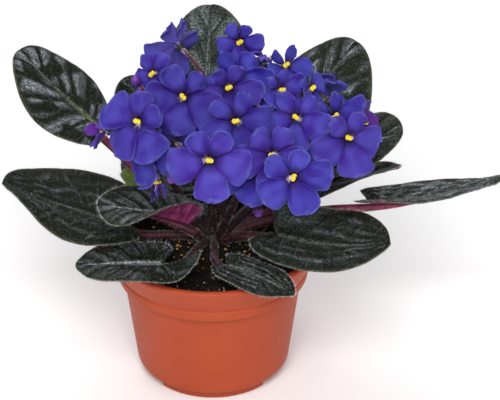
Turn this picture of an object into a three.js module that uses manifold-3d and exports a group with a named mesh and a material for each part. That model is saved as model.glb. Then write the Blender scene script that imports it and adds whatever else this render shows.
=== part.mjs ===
// Potted african violet: a plastic nursery pot filled with soil, a rosette of hairy leaves on long
// stalks, and a dome of five-lobed blooms above them.
// Millimetres, +Z up. The origin is the centre of the pot's underside.

import * as THREE from "three";
import { mergeVertices } from "three/addons/utils/BufferGeometryUtils.js";
import Module from "manifold-3d";

const wasm = await Module();
wasm.setup();

// Driving dimensions of the pot
const RIM_RADIUS = 60;
const POT_HEIGHT = 83;
const FOOT_RADIUS = 37.5;
const BODY_BASE_RADIUS = 42.4;
const BODY_TOP_RADIUS = 49.4;
const COLLAR_BASE_RADIUS = 52.6;
const COLLAR_BASE_HEIGHT = 60.4;
const WALL = 1.8;
const FLOOR = 6.4;
const FOOT_HEIGHT = 4.6;
const FOOT_GAPS = [-30, 90, 210];
const FOOT_GAP_WIDTH = 16;
const FOOT_GAP_DEPTH = 5.5;
const POT_SIDES = 36;

// Driving dimensions of the soil
const SOIL_LEVEL = 77.5;
const SOIL_SIDES = 27;
const SOIL_GRAIN = 0.9;

// Clearance between pieces that touch
const SEAT = 0.3;

// Driving dimensions of the stalks
const CROWN_RADIUS = 7.5;
const CROWN_TOP = 87;
const CROWN_ROOT = 68;
const STALK_START = 3;
const STALK_SINK = 7;
const LEAF_STALK_RADIUS = 2.5;
const LEAF_RIB_RADIUS = 0.8;
const STALK_SIDES = 5;
const RIB_SWELL = 0.15;
const RIB_GAP_STEP = 0.1;
const RIB_GAP_MOST = 1.5;

// Driving dimensions of a leaf blade
const BLADE_THICKNESS = 0.8;
const BLADE_ROWS = 10;
const BLADE_COLUMNS = 3;
const WIDEST = 0.38;
const QUILT = 0.4;
const MIDRIB_STEPS = 24;
const TIP_NARROWING = 0.16;
const WAVES = 13;
const ROOT_SPREAD = 2.2;
const MARGIN_SPREAD = 0.8;
const ROW_SPREAD = 1.15;
const ROUND_FROM = 145;
const ROUND_TO = 172;
const ROUND_LEAST = 0.1;
const TUCK_FULL = 0.35;

// One row for each leaf. base is the point where stalk and blade meet; heading and pitch are the
// direction of the midrib there, and turn and bend what they gain by the tip; roll and twist turn
// the blade about its midrib. rise is how steeply the left and right halves leave the midrib, curl
// what they gain by the widest margin, unfold what they gain by the tip, and lobes how far each
// half reaches back past the stalk, as a share of the length. notch is the angle on the outline, in
// degrees from the tip, past which the lobes turn in to the stalk, and tuck how steeply they rise
// there. blunt is how full the lobes are: the less, the fuller. round is 1 where a lobe's end is
// rounded off and closes on the stalk.
const LEAVES = {
  upper_left: {
    base: [-61, 30, 133],
    length: 63,
    width: 62,
    heading: 164,
    pitch: 37,
    turn: -16,
    bend: 2,
    roll: -9,
    rise: [8, 8],
    curl: [-40, -8],
    lobes: [0.1, 0.08],
  },
  middle_left: {
    base: [-43, -1, 88.5],
    length: 77,
    width: 70,
    heading: 164,
    pitch: 7,
    turn: 16,
    bend: 20,
    roll: -11,
    rise: [17, 14],
    curl: [-48, 8],
  },
  curled_left: {
    base: [-12, -12, 97.5],
    length: 52,
    width: 48,
    heading: 180,
    pitch: 22,
    turn: 6,
    bend: -14,
    rise: [80, 18],
    unfold: [-100, -6],
    curl: [-10, -22],
    lobes: [0.1, 0.26],
  },
  front_left: {
    base: [-25, -42, 91],
    length: 48,
    width: 44,
    heading: 180,
    pitch: 2,
    turn: 2,
    bend: -6,
    rise: [4, 4],
    curl: [1, -8],
    lobes: [0.46, 0.08],
    tuck: 28,
    notch: 171,
    blunt: 0.3,
    round: [1, 0],
  },
  front_small: {
    base: [8, -41, 89.5],
    length: 42,
    width: 29,
    heading: -30,
    pitch: 0,
    bend: -16,
    rise: [5, 5],
    curl: [-14, -14],
    stalk: 2,
  },
  front_right: {
    base: [33.5, -15.5, 93.5],
    length: 66,
    width: 62,
    heading: -30,
    pitch: -4,
    turn: 32,
    bend: 16,
    roll: 3,
    rise: [24, 18],
    curl: [-22, -36],
    lobes: [0.2, 0.15],
    taper: 0.62,
  },
  far_right: {
    base: [85, 12, 97],
    length: 76,
    width: 37,
    heading: -3,
    pitch: 3,
    turn: 2,
    bend: 20,
    rise: [6, 33],
    unfold: [-22, -16],
    curl: [0, -6],
    lobes: [0.1, 0.14],
    taper: 0.68,
  },
  back_right: {
    base: [44, 12.5, 99.8],
    length: 64,
    width: 37,
    heading: 18,
    pitch: 13,
    turn: -2,
    bend: -10,
    rise: [2, 20],
    curl: [-6, -8],
    taper: 1.5,
    unfold: [0, 14],
  },
  right: {
    base: [53, 35, 112],
    length: 58,
    width: 56,
    heading: -18,
    pitch: 26,
    turn: 6,
    bend: -5,
    roll: -16,
    rise: [11, 6],
    curl: [-34, 6],
    taper: 0.8,
  },
  upper_right: {
    base: [46, 30, 127],
    length: 66,
    width: 65,
    heading: 61,
    pitch: 41,
    turn: -24,
    bend: -8,
    rise: [4, 2],
    curl: [-17, -28],
  },
  upper_back: {
    base: [-4, 34, 134],
    length: 69,
    width: 53,
    heading: 87,
    pitch: 47,
    turn: -1,
    bend: -3,
    roll: 5,
    rise: [9, 10],
    curl: [-12, -13],
  },
  left_back: {
    base: [-31, 40, 116],
    length: 43,
    width: 38,
    heading: 128,
    pitch: 50,
    rise: [8, 8],
    curl: [-16, -16],
    stalk: 2,
  },
  young_left: {
    base: [-31, 16, 98],
    length: 24,
    width: 19,
    heading: 152,
    pitch: 25,
    rise: [12, 12],
    curl: [-20, -20],
    lobes: [0.06, 0.06],
    tuck: 24,
    stalk: 1.2,
  },
  back_low_left: {
    base: [-23, 34, 90],
    length: 52,
    width: 44,
    heading: 110,
    pitch: 14,
    bend: -20,
    rise: [8, 8],
    curl: [-22, -16],
  },
  back_low_right: {
    base: [30, 31, 91],
    length: 62,
    width: 50,
    heading: 60,
    pitch: 16,
    bend: -20,
    rise: [8, 8],
    curl: [-16, -22],
  },
  back_low: {
    base: [0, 38, 88.4],
    length: 56,
    width: 46,
    heading: 92,
    pitch: 0,
    bend: -10,
    rise: [6, 6],
    curl: [-14, -14],
  },
};

// What a leaf has where its row says nothing
const LEAF_HABIT = {
  turn: 0,
  bend: 0,
  roll: 0,
  twist: 0,
  unfold: [0, 0],
  lobes: [0.16, 0.16],
  wave: 0.8,
  taper: 0.92,
  blunt: 0.78,
  round: [0, 0],
  notch: 150,
  tuck: 14,
  stalk: LEAF_STALK_RADIUS,
};

// Driving dimensions of a bloom
const PETAL_THICKNESS = 0.7;
const FLOWER_TUBE = 5.5;
const THROAT_SHARE = 0.19;
const ANTHER_RADIUS = 1.9;
const RUFFLE = 0.035;
const CLOSED_NARROWING = 1.25;
const PUSH_STEP = 0.8;
const PUSH_MOST = 24;

// Driving dimensions of the flower stalks
const PEDUNCLE_RADII = [2.4, 2.1, 1.8, 1.4];
const PEDICEL_SIDES = 4;
const PEDICEL_RADII = [1, 0.85, 0.8, 0.8];
const NECK = 8;
const NECK_RADIUS = 1.1;
const BUD_RADIUS = 3;
const BENDS = [3, 6, 9, 12, 16, 20];
const BEND_TURNS = 12;

// The five lobes of a bloom: the angle from its right, counterclockwise, and the reach as a share
// of its size. The two upper lobes are the small ones.
const LOBES = [
  { angle: 54, reach: 0.76 },
  { angle: 126, reach: 0.76 },
  { angle: 198, reach: 1 },
  { angle: 270, reach: 1 },
  { angle: 342, reach: 1 },
];

// The right half of a lobe's outline, from the throat to the tip: along and across, as shares
const LOBE_OUTLINE = [
  [0.45, 0.31],
  [0.76, 0.45],
  [0.95, 0.27],
];

// One row for each truss: where its stalk branches, its blooms, and the places of its buds. A
// bloom's row gives its centre, the heading and pitch that it faces, its spin about that axis, the
// reach of its large lobes, and how far the lobes stand forward and then curl, in degrees.
const OPEN = [10, -24];
const TRUSSES = [
  {
    branch: [-12, -24, 142],
    blooms: {
      hanging: [-28, -38, 141, -110, -72, 0, 12, 66, 10],
      inner_left: [-20, -22, 155, 115, -12, 0, 12, 20, -10],
      lower_left: [-32, -37, 159, -130, 8, 10, 18, 14, -20],
      front_left: [0, -63, 168, -92, 25, 0, 22, ...OPEN],
      inner_middle: [-3, -28, 157, -100, 28, 0, 14, ...OPEN],
    },
    buds: [
      [-20, -52, 150],
      [-49, -14, 146],
    ],
  },
  {
    branch: [22, -26, 138],
    blooms: {
      inner_front: [18, -24, 156, -88, 35, 0, 15, ...OPEN],
      front_low: [21, -50, 152, -92, 2, 0, 17, 16, -20],
      front: [32, -52, 165, -88, 20, 0, 19, ...OPEN],
      front_right: [42, -68, 161, -80, 20, 18, 20, ...OPEN],
      centre: [13, -42, 179, -85, 42, 10, 20, ...OPEN],
    },
    buds: [[25, -40, 123]],
  },
  {
    branch: [-28, 10, 144],
    blooms: {
      spent_left: [-57, -4, 151, 190, 5, 0, 12, 40, 0],
      folded_left: [-22, -8, 160, -150, 62, 0, 15, 50, -10],
      left: [-38, -36, 175, -112, 28, -30, 20, ...OPEN],
      left_top: [-31, 6, 181, -130, 34, 20, 15, ...OPEN],
      left_back: [-44, 30, 147, 150, 26, 0, 17, ...OPEN],
    },
    buds: [[-40, 2, 178]],
  },
  {
    branch: [10, 6, 152],
    blooms: {
      inner_top: [24, -12, 172, -90, 60, 0, 13, 30, 0],
      upper_left: [-14, -22, 182, -95, 38, -8, 19, ...OPEN],
      upper: [9, -14, 183, -80, 25, 0, 18, 20, -20],
      top: [14, 10, 177, -95, 46, 0, 19, 20, -16],
      right_inner: [34, -4, 175, -35, 38, 0, 15, 28, -10],
      back_top: [15, 44, 182, -90, 20, 0, 13, 16, -20],
    },
    buds: [],
  },
  {
    branch: [56, -8, 138],
    blooms: {
      far_right: [82, 10, 148, -20, 22, 0, 15, 16, -10],
      middle_right: [45, -30, 174, -100, 48, 0, 18, ...OPEN],
      right: [65, -12, 165, -45, 40, 0, 18, 22, -14],
      right_low: [58, -20, 147, -60, 8, 0, 15, ...OPEN],
      lower_right: [72, -36, 165, -62, 20, 0, 20, 15, -20],
      right_top: [51, 4, 172, -20, 35, 0, 13, 22, -10],
      top_right: [40, 25, 175, -70, 50, 0, 14, 26, -10],
    },
    buds: [],
  },
  {
    branch: [14, 22, 146],
    blooms: {
      back_left: [-19, 41, 180, 125, 10, 0, 18, 16, -20],
      top_back: [29, 36, 172, 40, 30, 0, 13, ...OPEN],
      back: [-12, 32, 152, 120, 15, 0, 14, ...OPEN],
      back_low: [12, 33, 158, 90, 20, 0, 14, ...OPEN],
      back_right: [38, 31, 156, 60, 20, 0, 14, ...OPEN],
      right_back: [68, 28, 158, 30, 30, 0, 17, ...OPEN],
    },
    buds: [],
  },
];

// The heart of the bouquet, from which the blooms are set outwards
const HEART = new THREE.Vector3(14, 0, 138);

const rad = THREE.MathUtils.degToRad;
const clamp = THREE.MathUtils.clamp;
const smoothstep = THREE.MathUtils.smoothstep;

// Finishes
function finish(color, roughness) {
  return new THREE.MeshStandardMaterial({ color, roughness, metalness: 0 });
}

const TERRACOTTA = finish(0xbe5a3c, 0.45);
const SOIL = finish(0x2b2019, 1);
const LEAF_GREEN = finish(0x2f3d2e, 0.6);
const STALK_RED = finish(0x5c2a2c, 0.7);
const PETAL_VIOLET = finish(0x4b37a5, 0.7);

// A closed mesh as a solid that can be joined and cut
function toSolid(geometry) {
  const bare = new THREE.BufferGeometry();
  bare.setAttribute("position", geometry.getAttribute("position").clone());
  bare.setIndex(geometry.getIndex());
  const merged = mergeVertices(bare, 1e-4);
  return new wasm.Manifold(
    new wasm.Mesh({
      numProp: 3,
      vertProperties: merged.getAttribute("position").array,
      triVerts: new Uint32Array(merged.getIndex().array),
    }),
  );
}

function toGeometry(solid) {
  const mesh = solid.getMesh();
  const geometry = new THREE.BufferGeometry();
  geometry.setAttribute("position", new THREE.BufferAttribute(mesh.vertProperties, 3));
  geometry.setIndex(new THREE.BufferAttribute(mesh.triVerts, 1));
  return geometry;
}

// A sheet of triangles made into a thin closed blade: the same triangles on both faces, and a
// strip round the rim
function thicken(points, triangles, thickness) {
  const sheet = new THREE.BufferGeometry();
  sheet.setFromPoints(points);
  sheet.setIndex(triangles);
  sheet.computeVertexNormals();
  const normal = new THREE.Vector3();
  const under = points.map((point, i) => {
    normal.fromBufferAttribute(sheet.getAttribute("normal"), i);
    return point.clone().addScaledVector(normal, -thickness);
  });
  const count = points.length;
  const index = [...triangles];
  const edges = new Set();
  for (let i = 0; i < triangles.length; i += 3) {
    const [a, b, c] = triangles.slice(i, i + 3);
    index.push(count + a, count + c, count + b);
    edges.add(a + " " + b);
    edges.add(b + " " + c);
    edges.add(c + " " + a);
  }
  for (const edge of edges) {
    const [a, b] = edge.split(" ").map(Number);
    if (!edges.has(b + " " + a)) {
      index.push(a, count + a, b);
      index.push(b, count + a, count + b);
    }
  }
  const blade = new THREE.BufferGeometry();
  blade.setFromPoints([...points, ...under]);
  blade.setIndex(index);
  return blade;
}

// A closed round stalk through the points, with a radius at each
function stalk(points, radii, sides = STALK_SIDES, steps = 8) {
  const curve = new THREE.CatmullRomCurve3(points, false, "centripetal");
  const frames = curve.computeFrenetFrames(steps, false);
  const ring = [];
  for (let i = 0; i <= steps; i += 1) {
    const share = i / steps;
    const place = share * (radii.length - 1);
    const before = Math.min(Math.floor(place), radii.length - 2);
    const radius = THREE.MathUtils.lerp(radii[before], radii[before + 1], place - before);
    const centre = curve.getPoint(share);
    for (let side = 0; side < sides; side += 1) {
      const angle = (2 * Math.PI * side) / sides;
      ring.push(
        centre
          .clone()
          .addScaledVector(frames.normals[i], radius * Math.cos(angle))
          .addScaledVector(frames.binormals[i], radius * Math.sin(angle)),
      );
    }
  }
  const index = [];
  for (let i = 0; i < steps; i += 1) {
    for (let side = 0; side < sides; side += 1) {
      const a = i * sides + side;
      const b = i * sides + ((side + 1) % sides);
      index.push(a, b, a + sides);
      index.push(b, b + sides, a + sides);
    }
  }
  const last = steps * sides;
  for (let side = 1; side < sides - 1; side += 1) {
    index.push(0, side + 1, side);
    index.push(last, last + side, last + side + 1);
  }
  const geometry = new THREE.BufferGeometry();
  geometry.setFromPoints(ring);
  geometry.setIndex(index);
  return geometry;
}

function lathe(profile, sides) {
  return new THREE.LatheGeometry(
    profile.map(([radius, height]) => new THREE.Vector2(radius, height)),
    sides,
  ).rotateX(Math.PI / 2);
}

// The pot's wall inside, from the rim down to the floor
const INSIDE = [
  [RIM_RADIUS - 3.9, POT_HEIGHT - 0.6],
  [RIM_RADIUS - 4.6, POT_HEIGHT - 5],
  [COLLAR_BASE_RADIUS - WALL, COLLAR_BASE_HEIGHT + 4],
  [BODY_TOP_RADIUS - WALL, COLLAR_BASE_HEIGHT - 3],
  [BODY_BASE_RADIUS - WALL, 10],
  [FOOT_RADIUS, FLOOR],
];

// The pot stands on a foot with three gaps in it
function potGeometry() {
  const profile = [
    [0, 0],
    [FOOT_RADIUS, 0],
    [FOOT_RADIUS + 0.6, FOOT_HEIGHT],
    [BODY_BASE_RADIUS - 1.4, 5.6],
    [BODY_BASE_RADIUS, 7.8],
    [BODY_TOP_RADIUS, COLLAR_BASE_HEIGHT - 0.6],
    [COLLAR_BASE_RADIUS, COLLAR_BASE_HEIGHT],
    [COLLAR_BASE_RADIUS + 1, COLLAR_BASE_HEIGHT + 6.5],
    [RIM_RADIUS - 1.6, POT_HEIGHT - 5],
    [RIM_RADIUS - 0.4, POT_HEIGHT - 3],
    [RIM_RADIUS, POT_HEIGHT - 0.9],
    [RIM_RADIUS - 1.6, POT_HEIGHT],
    ...INSIDE,
    [0, FLOOR],
  ];
  const gaps = FOOT_GAPS.map((angle) => {
    const gap = new THREE.BoxGeometry(2 * FOOT_GAP_DEPTH, FOOT_GAP_WIDTH, 2 * FOOT_HEIGHT - 0.2);
    gap.deleteAttribute("normal");
    gap.deleteAttribute("uv");
    return toSolid(gap.translate(FOOT_RADIUS, 0, 0).rotateZ(rad(angle)));
  });
  const whole = lathe(profile, POT_SIDES);
  whole.deleteAttribute("normal");
  whole.deleteAttribute("uv");
  return toGeometry(gaps.reduce((pot, gap) => pot.subtract(gap), toSolid(whole)));
}

// The soil fills the pot up to a rough top, with a plain hole for the crown
function soilGeometry() {
  const hole = CROWN_RADIUS + SEAT;
  const wall = INSIDE.slice(2)
    .reverse()
    .map(([radius, height]) => [radius - SEAT, Math.max(height, FLOOR + SEAT)]);
  const edge = RIM_RADIUS - 5 - SEAT;
  const profile = [
    [0, FLOOR + SEAT],
    ...wall,
    [edge, SOIL_LEVEL - 1],
    [44, SOIL_LEVEL],
    [33, SOIL_LEVEL + 0.6],
    [22, SOIL_LEVEL + 1.2],
    [hole + 3, SOIL_LEVEL + 1.6],
    [hole, SOIL_LEVEL + 1.2],
    [hole, CROWN_ROOT - SEAT],
    [0, CROWN_ROOT - SEAT],
  ];
  const geometry = lathe(profile, SOIL_SIDES);
  const place = geometry.getAttribute("position");
  for (let i = 0; i < place.count; i += 1) {
    const x = place.getX(i);
    const y = place.getY(i);
    const radius = Math.hypot(x, y);
    if (place.getZ(i) > SOIL_LEVEL - 2 && radius > hole + 1 && radius < edge - 1) {
      const grain = Math.sin(x * 0.61 + y * 0.23) + Math.sin(y * 0.83 - x * 0.37);
      place.setZ(i, place.getZ(i) + 0.5 * SOIL_GRAIN * grain);
    }
  }
  return geometry;
}

// The blade's frame at a share of its length: forward along the midrib, side to its right, and up
function bladeFrame(leaf, share) {
  const along = clamp(share, 0, 1);
  const heading = rad(leaf.heading + leaf.turn * along);
  const pitch = rad(leaf.pitch + leaf.bend * along);
  const roll = rad(leaf.roll + leaf.twist * along);
  const forward = new THREE.Vector3(
    Math.cos(pitch) * Math.cos(heading),
    Math.cos(pitch) * Math.sin(heading),
    Math.sin(pitch),
  );
  const level = new THREE.Vector3(Math.sin(heading), -Math.cos(heading), 0);
  const upright = new THREE.Vector3().crossVectors(level, forward);
  const side = level
    .clone()
    .multiplyScalar(Math.cos(roll))
    .addScaledVector(upright, Math.sin(roll));
  const up = upright
    .clone()
    .multiplyScalar(Math.cos(roll))
    .addScaledVector(level, -Math.sin(roll));
  return { forward, side, up };
}

// The midrib, stepped off from the base
function midribPoint(leaf, share) {
  const point = new THREE.Vector3(...leaf.base);
  const step = 1 / MIDRIB_STEPS;
  for (let start = 0; start < Math.max(share, 0) - 1e-9; start += step) {
    const run = Math.min(step, share - start);
    const { forward } = bladeFrame(leaf, start + run / 2);
    point.addScaledVector(forward, run * leaf.length);
  }
  if (share < 0) {
    const { forward, up } = bladeFrame(leaf, 0);
    const tuck = rad(leaf.tuck) * Math.min(-share / TUCK_FULL, 1);
    point.addScaledVector(forward, share * leaf.length * Math.cos(tuck));
    point.addScaledVector(up, -share * leaf.length * Math.sin(tuck));
  }
  return point;
}

// The flat outline of half a blade: theta runs from 0 at the tip to pi at the stalk
function outlinePoint(leaf, hand, theta) {
  const lobe = leaf.lobes[hand];
  const c = Math.cos(theta);
  const notch = smoothstep(theta, rad(leaf.notch), Math.PI);
  const reach = c > 0 ? 1 - WIDEST : WIDEST + lobe;
  const along = WIDEST + reach * c + lobe * notch;
  const power = c > 0 ? leaf.taper : leaf.blunt;
  const full = Math.sin(theta) ** power * (1 - TIP_NARROWING * Math.max(c, 0) ** 2);
  const past = clamp((theta - rad(ROUND_FROM)) / rad(ROUND_TO - ROUND_FROM), 0, 1);
  const least = ROUND_LEAST * Math.min((Math.PI - theta) / rad(180 - ROUND_TO), 1);
  const rounded = Math.max(full * Math.sqrt(1 - past ** 2), Math.min(least, full));
  return [along, THREE.MathUtils.lerp(full, rounded, leaf.round[hand])];
}

// A point of the blade. vein is 0 at the stalk and 1 at the tip, out is 0 on the midrib and 1 on
// the margin, and half is -1 on the left and 1 on the right
function bladePoint(leaf, vein, out, half) {
  const hand = half < 0 ? 0 : 1;
  const theta = Math.PI * (1 - vein ** MARGIN_SPREAD);
  const [marginAlong, marginAcross] = outlinePoint(leaf, hand, theta);
  const root = THREE.MathUtils.lerp(0.04, 1, vein ** ROOT_SPREAD);
  const along = THREE.MathUtils.lerp(root, marginAlong, out);
  const reach = marginAcross * out;
  const slope = rad(leaf.rise[hand] + leaf.unfold[hand] * clamp(along, 0, 1));
  const curl = rad(leaf.curl[hand]) || 1e-3;
  const across = (Math.sin(slope + curl * reach) - Math.sin(slope)) / curl;
  const lift = (Math.cos(slope) - Math.cos(slope + curl * reach)) / curl;
  const wave = leaf.wave * out ** 3 * Math.sin(WAVES * vein + 2 * half + leaf.heading);
  const { side, up } = bladeFrame(leaf, along);
  return midribPoint(leaf, along)
    .addScaledVector(side, (half * across * leaf.width) / 2)
    .addScaledVector(up, (lift * leaf.width) / 2 + wave);
}

// The blade, with its panels raised and sunk by turns between the side veins
function bladeGeometry(leaf) {
  const points = [midribPoint(leaf, 0)];
  const wide = 2 * BLADE_COLUMNS + 1;
  for (let row = 1; row < BLADE_ROWS; row += 1) {
    const vein = (row / BLADE_ROWS) ** ROW_SPREAD;
    for (let column = -BLADE_COLUMNS; column <= BLADE_COLUMNS; column += 1) {
      const out = Math.abs(column) / BLADE_COLUMNS;
      const point = bladePoint(leaf, vein, out, column < 0 ? -1 : 1);
      const quilt = row % 2 ? QUILT : -QUILT;
      point.addScaledVector(bladeFrame(leaf, vein).up, quilt * 4 * out * (1 - out));
      points.push(point);
    }
  }
  points.push(midribPoint(leaf, 1));
  const tip = points.length - 1;
  const triangles = [];
  const at = (row, column) => 1 + (row - 1) * wide + column;
  for (let column = 0; column < wide - 1; column += 1) {
    triangles.push(0, at(1, column + 1), at(1, column));
    triangles.push(tip, at(BLADE_ROWS - 1, column), at(BLADE_ROWS - 1, column + 1));
    for (let row = 1; row < BLADE_ROWS - 1; row += 1) {
      const a = at(row, column);
      const b = at(row, column + 1);
      triangles.push(a, b, a + wide);
      triangles.push(b, b + wide, a + wide);
    }
  }
  return thicken(points, triangles, BLADE_THICKNESS);
}

// The leaf's stalk runs from the crown to the blade and on beneath it as the rib, which starts at
// a gap under the midrib
function leafStalk(leaf, gap, swell) {
  const base = new THREE.Vector3(...leaf.base);
  const crown = new THREE.Vector3(base.x, base.y, 0).normalize();
  const under = (share, radius) =>
    midribPoint(leaf, share).addScaledVector(
      bladeFrame(leaf, share).up,
      -(BLADE_THICKNESS + radius + gap),
    );
  const seat = under(0, leaf.stalk);
  const start = crown.clone().multiplyScalar(STALK_START).setZ(CROWN_TOP - STALK_SINK);
  const run = seat.distanceTo(start);
  const curve = new THREE.CubicBezierCurve3(
    start,
    start.clone().addScaledVector(crown, run * 0.3).add(new THREE.Vector3(0, 0, run * 0.16)),
    seat.clone().addScaledVector(bladeFrame(leaf, 0).forward, -run * 0.3),
    seat,
  );
  const points = curve.getPoints(4);
  points.push(under(0.2, leaf.stalk * 0.7), under(0.5, LEAF_RIB_RADIUS));
  const radii = [1.15, 1.05, 1, 1, 0.95, 0.7].map((share) => share * leaf.stalk);
  radii.push(LEAF_RIB_RADIUS);
  const swollen = radii.map((radius) => radius + swell);
  return toSolid(stalk(points, swollen, STALK_SIDES, 7));
}

// The stalk sits as close under its blade as it can with a clearance all round
function seatedStalk(leaf, blade) {
  let gap = SEAT;
  while (gap < RIB_GAP_MOST && !apart(leafStalk(leaf, gap, RIB_SWELL), [blade])) {
    gap += RIB_GAP_STEP;
  }
  return leafStalk(leaf, gap, 0);
}

function crownGeometry() {
  return lathe(
    [
      [0, CROWN_ROOT],
      [CROWN_RADIUS - 1, CROWN_ROOT],
      [CROWN_RADIUS, CROWN_ROOT + 3],
      [CROWN_RADIUS, CROWN_TOP - STALK_SINK],
      [CROWN_RADIUS - 3, CROWN_TOP - 1],
      [0, CROWN_TOP],
    ],
    10,
  );
}

// A bloom's frame: right and up as seen from in front of it, and the way it faces
function bloomFrame(bloom) {
  const heading = rad(bloom.heading);
  const pitch = rad(bloom.pitch);
  const facing = new THREE.Vector3(
    Math.cos(pitch) * Math.cos(heading),
    Math.cos(pitch) * Math.sin(heading),
    Math.sin(pitch),
  );
  const right = new THREE.Vector3(-Math.sin(heading), Math.cos(heading), 0);
  const up = new THREE.Vector3().crossVectors(facing, right);
  return new THREE.Matrix4()
    .makeBasis(right, up, facing)
    .multiply(new THREE.Matrix4().makeRotationZ(rad(bloom.spin)))
    .setPosition(bloom.centre);
}

function facingOf(bloom) {
  return new THREE.Vector3().setFromMatrixColumn(bloomFrame(bloom), 2);
}

// A point of the corolla, at an angle round the axis and at along and across on a lobe
function corollaPoint(bloom, angle, along, across) {
  const size = bloom.size;
  const start = rad(bloom.open);
  const curl = rad(bloom.curl) || 1e-3;
  const radial = (size * (Math.sin(start + curl * along) - Math.sin(start))) / curl;
  const forward = (size * (Math.cos(start) - Math.cos(start + curl * along))) / curl;
  const narrow = Math.cos(start) ** CLOSED_NARROWING;
  const turn = rad(angle);
  return new THREE.Vector3(
    radial * Math.cos(turn) - size * across * narrow * Math.sin(turn),
    radial * Math.sin(turn) + size * across * narrow * Math.cos(turn),
    forward,
  );
}

// The five lobes round the throat as one thin sheet, drawn out behind into the tube
function corollaGeometry(bloom) {
  const points = [new THREE.Vector3(0, 0, 0)];
  for (const { angle } of LOBES) {
    points.push(corollaPoint(bloom, angle - 36, THROAT_SHARE, 0));
  }
  const triangles = [];
  LOBES.forEach(({ angle, reach }, lobe) => {
    const first = points.length;
    const right = LOBE_OUTLINE.map(([along, across]) => [along, -across]);
    const left = LOBE_OUTLINE.map(([along, across]) => [along, across]).reverse();
    [...right, [1, 0], ...left].forEach(([along, across], i) => {
      const point = corollaPoint(bloom, angle, along * reach, across * reach);
      const ruffle = Math.sin(2.3 * i + 1.7 * lobe + bloom.heading + bloom.size);
      point.z += RUFFLE * bloom.size * ruffle * along;
      points.push(point);
    });
    const middle = points.length;
    points.push(corollaPoint(bloom, angle, 0.56 * reach, 0));
    const from = 1 + lobe;
    const to = 1 + ((lobe + 1) % LOBES.length);
    const rim = [from];
    for (let i = first; i < middle; i += 1) {
      rim.push(i);
    }
    rim.push(to);
    for (let i = 0; i < rim.length - 1; i += 1) {
      triangles.push(middle, rim[i], rim[i + 1]);
    }
    triangles.push(middle, to, from);
    triangles.push(0, from, to);
  });
  const corolla = thicken(points, triangles, PETAL_THICKNESS);
  corolla.getAttribute("position").setXYZ(points.length, 0, 0, -FLOWER_TUBE);
  return corolla;
}

// The corolla with the anthers in its throat
function bloomSolid(bloom) {
  const anthers = new THREE.OctahedronGeometry(ANTHER_RADIUS, 0)
    .scale(1.2, 0.8, 1)
    .translate(0, -0.4, 1);
  anthers.deleteAttribute("normal");
  anthers.deleteAttribute("uv");
  return toSolid(corollaGeometry(bloom))
    .add(toSolid(mergeVertices(anthers)))
    .transform(bloomFrame(bloom).toArray());
}

const plant = new THREE.Group();

function add(name, geometry, material) {
  const mesh = new THREE.Mesh(geometry, material.clone());
  mesh.name = name;
  plant.add(mesh);
}

const leaves = Object.entries(LEAVES).map(([name, row]) => ({ name, ...LEAF_HABIT, ...row }));

add("pot", potGeometry(), TERRACOTTA);
add("soil", soilGeometry(), SOIL);
for (const leaf of leaves) {
  add("leaf_" + leaf.name, bladeGeometry(leaf), LEAF_GREEN);
}

function apart(solid, others) {
  return others.every((other) => solid.intersect(other).isEmpty());
}

// What stands in its place already, and is to be kept clear of
const hard = leaves.map((leaf) => toSolid(bladeGeometry(leaf)));

const blooms = [];
for (const truss of TRUSSES) {
  for (const [name, row] of Object.entries(truss.blooms)) {
    const [x, y, z, heading, pitch, spin, size, open, curl] = row;
    const bloom = { name, heading, pitch, spin, size, open, curl, truss };
    bloom.centre = new THREE.Vector3(x, y, z);
    blooms.push(bloom);
  }
}

// The straight first stretch of the stalk behind a bloom
function neck(bloom) {
  const facing = facingOf(bloom);
  const from = bloom.centre.clone().addScaledVector(facing, 1 - FLOWER_TUBE);
  const to = bloom.centre.clone().addScaledVector(facing, -FLOWER_TUBE - NECK);
  return toSolid(stalk([from, to], [NECK_RADIUS, NECK_RADIUS], PEDICEL_SIDES, 1));
}

// The bloom is pushed the way it faces until it and the neck behind it clear what is set already
function settle(bloom) {
  const facing = facingOf(bloom);
  const solid = bloomSolid(bloom);
  const held = solid.add(neck(bloom));
  let push = 0;
  const move = () => facing.clone().multiplyScalar(push).toArray();
  while (push < PUSH_MOST && !apart(held.translate(move()), hard)) {
    push += PUSH_STEP;
  }
  bloom.centre.addScaledVector(facing, push);
  return solid.translate(move());
}

// The blooms are set from the heart outwards
blooms.sort((a, b) => a.centre.distanceTo(HEART) - b.centre.distanceTo(HEART));
for (const bloom of blooms) {
  const solid = settle(bloom);
  hard.push(solid);
  add("bloom_" + bloom.name, toGeometry(solid), PETAL_VIOLET);
}

// A stalk through the points, with its inner points bent aside until it clears blades and blooms
function clearStalk(points, radii, sides, steps) {
  const along = points.at(-1).clone().sub(points[0]).normalize();
  const across = new THREE.Vector3().crossVectors(along, new THREE.Vector3(0, 0, 1)).normalize();
  const over = new THREE.Vector3().crossVectors(across, along);
  const straight = toSolid(stalk(points, radii, sides, steps));
  if (apart(straight, hard)) {
    return straight;
  }
  for (const bend of BENDS) {
    for (let turn = 0; turn < BEND_TURNS; turn += 1) {
      const angle = (2 * Math.PI * turn) / BEND_TURNS;
      const aside = new THREE.Vector3()
        .addScaledVector(across, bend * Math.cos(angle))
        .addScaledVector(over, bend * Math.sin(angle));
      const bent = points.map((point, i) =>
        i > 0 && i < points.length - 2 ? point.clone().add(aside) : point,
      );
      const solid = toSolid(stalk(bent, radii, sides, steps));
      if (apart(solid, hard)) {
        return solid;
      }
    }
  }
  return straight;
}

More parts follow.
